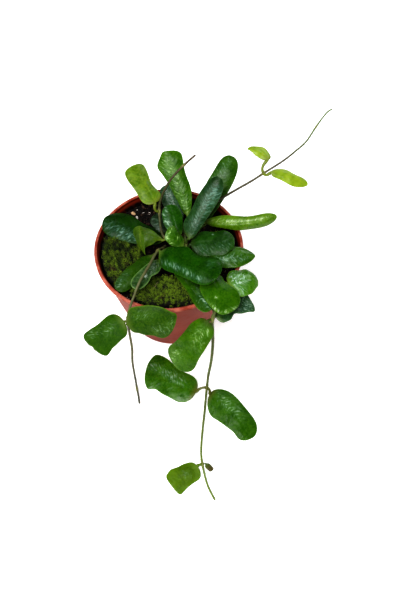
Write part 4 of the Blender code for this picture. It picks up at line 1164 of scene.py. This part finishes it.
def make_soil():
    """The soil's body, with a finely broken top."""
    top_radius = inner_radius(SOIL_LEVEL) - GAP
    bottom = FLOOR + GAP
    points, faces = turned(
        [(0, bottom), (inner_radius(bottom) - GAP, bottom)]
        + [(top_radius * (1 - k / SOIL_RINGS), SOIL_LEVEL) for k in range(SOIL_RINGS)]
        + [(0, SOIL_LEVEL)],
        SOIL_SIDES,
    )
    raised = []
    for x, y, z in points:
        if z == SOIL_LEVEL:
            fine = 0.5 * lumps(x, y, 1.7, 5) + 0.3 * lumps(x, y, 1, 6)
            at_wall = min(1, (top_radius - math.hypot(x, y)) / 3)
            z = soil_height(x, y) + fine - 1.2 * (1 - at_wall)
        raised.append((x, y, z))
    add_piece("soil_body", raised, faces, soil_material(), replaces=["soil"], slot="potting_soil")


def lump(generator, size, detail, rough):
    """Points and faces of a stone-like lump with a random shape and turn."""
    shape = bmesh.new()
    bmesh.ops.create_icosphere(shape, subdivisions=detail, radius=1)
    stretch = Vector(generator.uniform(0.55, 1.25, 3))
    turn = Matrix.Rotation(generator.uniform(0, math.tau), 3, generator.uniform(-1, 1, 3) + 0.01)
    shift = Vector(generator.uniform(0, 50, 3))
    points = []
    for vertex in shape.verts:
        bulge = 1 + rough * noise.noise(1.3 * vertex.co + shift)
        points.append(turn @ (vertex.co * bulge * stretch) * size)
    faces = [[vertex.index for vertex in face.verts] for face in shape.faces]
    shape.free()
    return points, faces


def scatter_lumps(name, spots, material, detail, rough, generator):
    """One piece of many loose lumps, each at a spot of (x, y, size, how far its middle stands up)."""
    points, faces, tones = [], [], []
    for x, y, size, standing in spots:
        made, sides = lump(generator, size, detail, rough)
        place = Vector((x, y, soil_height(x, y) + standing * size))
        faces += [[len(points) + i for i in side] for side in sides]
        points += [place + p for p in made]
        tones += [generator.uniform(0, 1) ** 2] * len(made)
    add_piece(name, points, faces, material, slot="potting_soil", tone=tones)


def make_crumbs():
    """Bark and peat crumbs over the bare soil, thinner round the moss, a clay grain and white perlite."""
    generator = np.random.default_rng(7)
    reach = inner_radius(SOIL_LEVEL) - CRUMB_MARGIN
    spots = []
    while len(spots) < CRUMBS:
        x, y = generator.uniform(-reach, reach, 2)
        share = min(moss_share(spec, x, y) for spec in MOSS.values())
        if math.hypot(x, y) < reach and share > generator.uniform(0.8, 1.15):
            size = CRUMB_SIZE * generator.uniform(0.35, 1) ** 1.6
            spots.append((x, y, size, generator.uniform(-0.1, 0.6)))
    scatter_lumps("soil_crumbs", spots, crumb_material(), 1, 0.5, generator)
    grains = [(x, y, PERLITE_RADIUS * size, PERLITE_SHOWING) for x, y, size in PERLITE + SMALL_PERLITE]
    pits = dict(roughness=0.85, patches=(0.7, 0.4, 0.7), grain=(0.5, 0.3, 0.8))
    clay = patchy_material("clay_grain", (176, 140, 104), (214, 184, 146), **pits)
    scatter_lumps("clay_grain", grains[:1], clay, 3, 0.4, generator)
    white = patchy_material("perlite", (205, 196, 186), (240, 236, 230), **pits)
    scatter_lumps("perlite_grains", grains[1:], white, 3, 0.6, generator)


def cushion_height(spec, x, y):
    """Height of a moss cushion's matted base above its edge."""
    share = min(moss_share(spec, x, y), 1)
    bumps = 1 + MOSS_LUMPINESS * lumps(x, y, MOSS_LUMP, 1)
    return spec["height"] * (1 - share**2) ** MOSS_DOME * bumps


def make_moss(name, spec, seed):
    """A matted cushion, and the leafy shoots that cover it."""
    turn = math.radians(spec["turn"])
    low = SOIL_LEVEL + GAP
    reach = inner_radius(SOIL_LEVEL) - 2 * GAP
    points = []
    for ring in range(1, MOSS_RINGS + 1):
        share = math.sin(0.5 * math.pi * ring / MOSS_RINGS)
        for i in range(MOSS_SIDES):
            angle = math.tau * i / MOSS_SIDES
            round_it = 2.2 * Vector((math.cos(angle), math.sin(angle), 0))
            edge = 1 + MOSS_RAGGEDNESS * noise.noise(round_it + Vector((0, 0, len(name))))
            along = share * edge * spec["half"][0] * math.cos(angle)
            across = share * edge * spec["half"][1] * math.sin(angle)
            x = spec["centre"][0] + along * math.cos(turn) - across * math.sin(turn)
            y = spec["centre"][1] + along * math.sin(turn) + across * math.cos(turn)
            distance = math.hypot(x, y)
            if distance > reach:
                x, y = x * reach / distance, y * reach / distance
            height = 0 if ring == MOSS_RINGS else MOSS_EDGE + 0.35 * lumps(x, y, 1.5, 2)
            points.append((x, y, low + height + (cushion_height(spec, x, y) if height else -GAP)))
    top, under = len(points), len(points) + 1
    x, y = spec["centre"]
    points += [(x, y, low + cushion_height(spec, x, y) + MOSS_EDGE), (x, y, low - GAP)]
    last = (MOSS_RINGS - 1) * MOSS_SIDES
    faces = []
    for i in range(MOSS_SIDES):
        k = (i + 1) % MOSS_SIDES
        faces.append([top, i, k])
        faces.append([last + i, under, last + k])
        for ring in range(MOSS_RINGS - 1):
            a, b = ring * MOSS_SIDES, (ring + 1) * MOSS_SIDES
            faces.append([a + i, b + i, b + k, a + k])
    base = patchy_material("moss_base", (8, 9, 5), (26, 28, 11), 0.95, (2.0, 0.4, 0.65), (0.9, 0.6, 0.9))
    add_piece(name + "_mat", points, faces, base, replaces=[name], slot="moss")
    make_shoots(name + "_shoots", shoot_spots(spec, reach, seed), seed)


def shoot_spots(spec, reach, seed):
    """Where the shoots stand: on a jittered grid over the cushion, sparse at its edge."""
    generator = np.random.default_rng(seed)
    half = max(spec["half"])
    spots = []
    for x in np.arange(-half, half, SHOOT_SPACING):
        for y in np.arange(-half, half, SHOOT_SPACING):
            px, py = np.array(spec["centre"]) + (x, y) + generator.uniform(-0.6, 0.6, 2) * SHOOT_SPACING
            share = moss_share(spec, px, py)
            gap = lumps(px, py, MOSS_TUFT, 4) < generator.normal(-0.5, 0.1)
            if share < 1.15 - 0.35 * generator.uniform(0, 1) and math.hypot(px, py) < reach - 1 and not gap:
                spots.append((px, py, SOIL_LEVEL + cushion_height(spec, px, py) + 0.6 * MOSS_EDGE))
    return np.array(spots)


def make_shoots(name, spots, seed):
    """Star-shaped moss shoots: each has whorls of pointed leaves, and each leaf is a slim closed spike."""
    generator = np.random.default_rng(seed + 100)
    count = len(spots)
    heights = SHOOT_HEIGHT * generator.uniform(0.5, 1.2, count)
    lean = generator.normal(0, 0.22, (count, 2))
    tufts = np.array([lumps(x, y, MOSS_TUFT, 4) for x, y, _ in spots])
    heights *= 1 + 0.7 * tufts
    # Painted light: the shoots are paler towards the front and darker towards the sides.
    bright = SHOOT_TONE + np.abs(spots[:, :2]) @ SHOOT_PAINTED_LIGHT_RISE
    tones = np.clip(bright + 1.1 * tufts + generator.normal(0, 0.28, count), 0, 1)
    dry = np.array([lumps(x, y, DRY_PATCH, 7) for x, y, _ in spots])
    dry = 1.0 * (dry + generator.normal(0, 0.2, count) > DRY_LIMIT)
    start = generator.uniform(0, math.tau, count)
    points, tips = [], []
    for level in range(SHOOT_LEAVES):
        share = level / (SHOOT_LEAVES - 1)
        azimuth = start + level * GOLDEN_ANGLE
        root = spots + np.column_stack([lean, np.ones(count)]) * (heights * share)[:, None]
        out = np.column_stack([np.cos(azimuth), np.sin(azimuth), np.zeros(count)])
        up = np.tile([0.0, 0.0, 1.0], (count, 1))
        across = np.cross(up, out)
        length = SHOOT_LEAF * generator.uniform(0.7, 1.2, count) * (1 - 0.45 * share)
        rise = length * (0.35 + 1.1 * share) * generator.uniform(0.7, 1.2, count)
        tip = root + out * length[:, None] + up * rise[:, None]
        width = SHOOT_LEAF_WIDTH * (1 - 0.3 * share)
        feet = [root + across * width, root - across * width, root + up * width]
        points.append(np.stack([*feet, tip], axis=1))
        tips.append(np.tile([0.15 + 0.35 * share] * 3 + [0.55 + 0.45 * share], (count, 1)))
    points = np.concatenate(points).reshape(-1, 3)
    faces = []
    for first in range(0, len(points), 4):
        a, b, c, tip = first, first + 1, first + 2, first + 3
        faces += [[a, b, c], [b, a, tip], [c, b, tip], [a, c, tip]]
    add_piece(
        name, points, faces, moss_material(), slot="moss", tip=np.concatenate(tips).ravel(),
        tone=np.tile(np.repeat(tones, 4), SHOOT_LEAVES), dry=np.tile(np.repeat(dry, 4), SHOOT_LEAVES),
    )


def make_straw():
    """A dry stalk lying on the moss."""
    line = smooth_route(STRAW_ROUTE, STEM_STEP)
    points = []
    side = Vector((0, 0, 1))
    for k, centre in enumerate(line):
        forward = (line[min(k + 1, len(line) - 1)] - line[max(k - 1, 0)]).normalized()
        side = square_to(side, forward)
        other = forward.cross(side)
        radius = STRAW_RADIUS * (1 - 0.6 * k / len(line))
        for i in range(STRAW_SIDES):
            angle = math.tau * i / STRAW_SIDES
            points.append(centre + radius * (math.cos(angle) * side + math.sin(angle) * other))
    faces = tube_faces(len(line), STRAW_SIDES)
    add_piece("dry_straw_1", points, faces, straw_material(), slot="moss")


def make_floor():
    glow = {"Emission Color": FLOOR_COLOUR, "Emission Strength": FLOOR_GLOW}
    half = FLOOR_SIZE / 2
    corners = [(-half, -half, 0), (half, -half, 0), (half, half, 0), (-half, half, 0)]
    mesh = bpy.data.meshes.new("floor")
    mesh.from_pydata(corners, [], [(0, 1, 2, 3)])
    mesh.materials.append(Nodes("floor_paper").finish(FLOOR_COLOUR, 0.9, None, 0.2, glow))
    add_object("floor", mesh)


def light_scene():
    """A big soft box above the front, dimmer ones behind on the right and on the left, a pale surround."""
    for name, place, size, power, colour in SOFTBOXES:
        data = bpy.data.lights.new(name, "AREA")
        data.shape, (data.size, data.size_y) = "RECTANGLE", size
        data.energy, data.color = power, colour
        light = add_object(name, data)
        light.location = place
        light.rotation_euler = (Vector(LIT_PLACE) - Vector(place)).to_track_quat("-Z", "Y").to_euler()
    world = bpy.data.worlds.new("studio")
    world.use_nodes = True
    background = world.node_tree.nodes["Background"]
    background.inputs["Color"].default_value = (1, 1, 1, 1)
    background.inputs["Strength"].default_value = SURROUND
    bpy.context.scene.world = world
    bpy.context.scene.view_settings.view_transform = "Standard"
    bpy.context.scene.view_settings.look = "High Contrast"


def place_camera():
    data = bpy.data.cameras.new("camera")
    data.sensor_fit = "VERTICAL"
    data.sensor_height = SENSOR
    data.lens = SENSOR * FOCAL_PIXELS / PHOTO_HEIGHT
    camera = add_object("camera", data)
    camera.location = Vector(CAMERA_PLACE) * MM
    camera.rotation_euler = (math.radians(90 - CAMERA_ELEVATION), 0, 0)
    bpy.context.scene.camera = camera


def main():
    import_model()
    stems = {name: Stem(spec) for name, spec in STEMS.items()}
    make_pot()
    make_soil()
    make_crumbs()
    for seed, (name, spec) in enumerate(MOSS.items()):
        make_moss(name, spec, seed)
    for name, stem in stems.items():
        look = STEM_LOOKS.get(name, STEM_LOOKS["other"])
        make_stem(name, stem, stem_material(name + "_bark", *look))
    for seed, (name, spec) in enumerate(LEAVES.items()):
        look = dict(zip(LOOK_KEYS, LEAF_LOOKS[spec["shade"]]))
        leaf = {**LEAF_DEFAULTS, **LEAF_LOOKS_AND_PAINTED_LIGHT, **look, **spec}
        slot = "young_leaf_green" if leaf["shade"] in YOUNG_SHADES else "leaf_green"
        make_leaf(name, leaf, stems[leaf["stem"]], seed, slot)
    make_straw()
    make_floor()
    light_scene()
    place_camera()
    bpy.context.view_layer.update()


main()
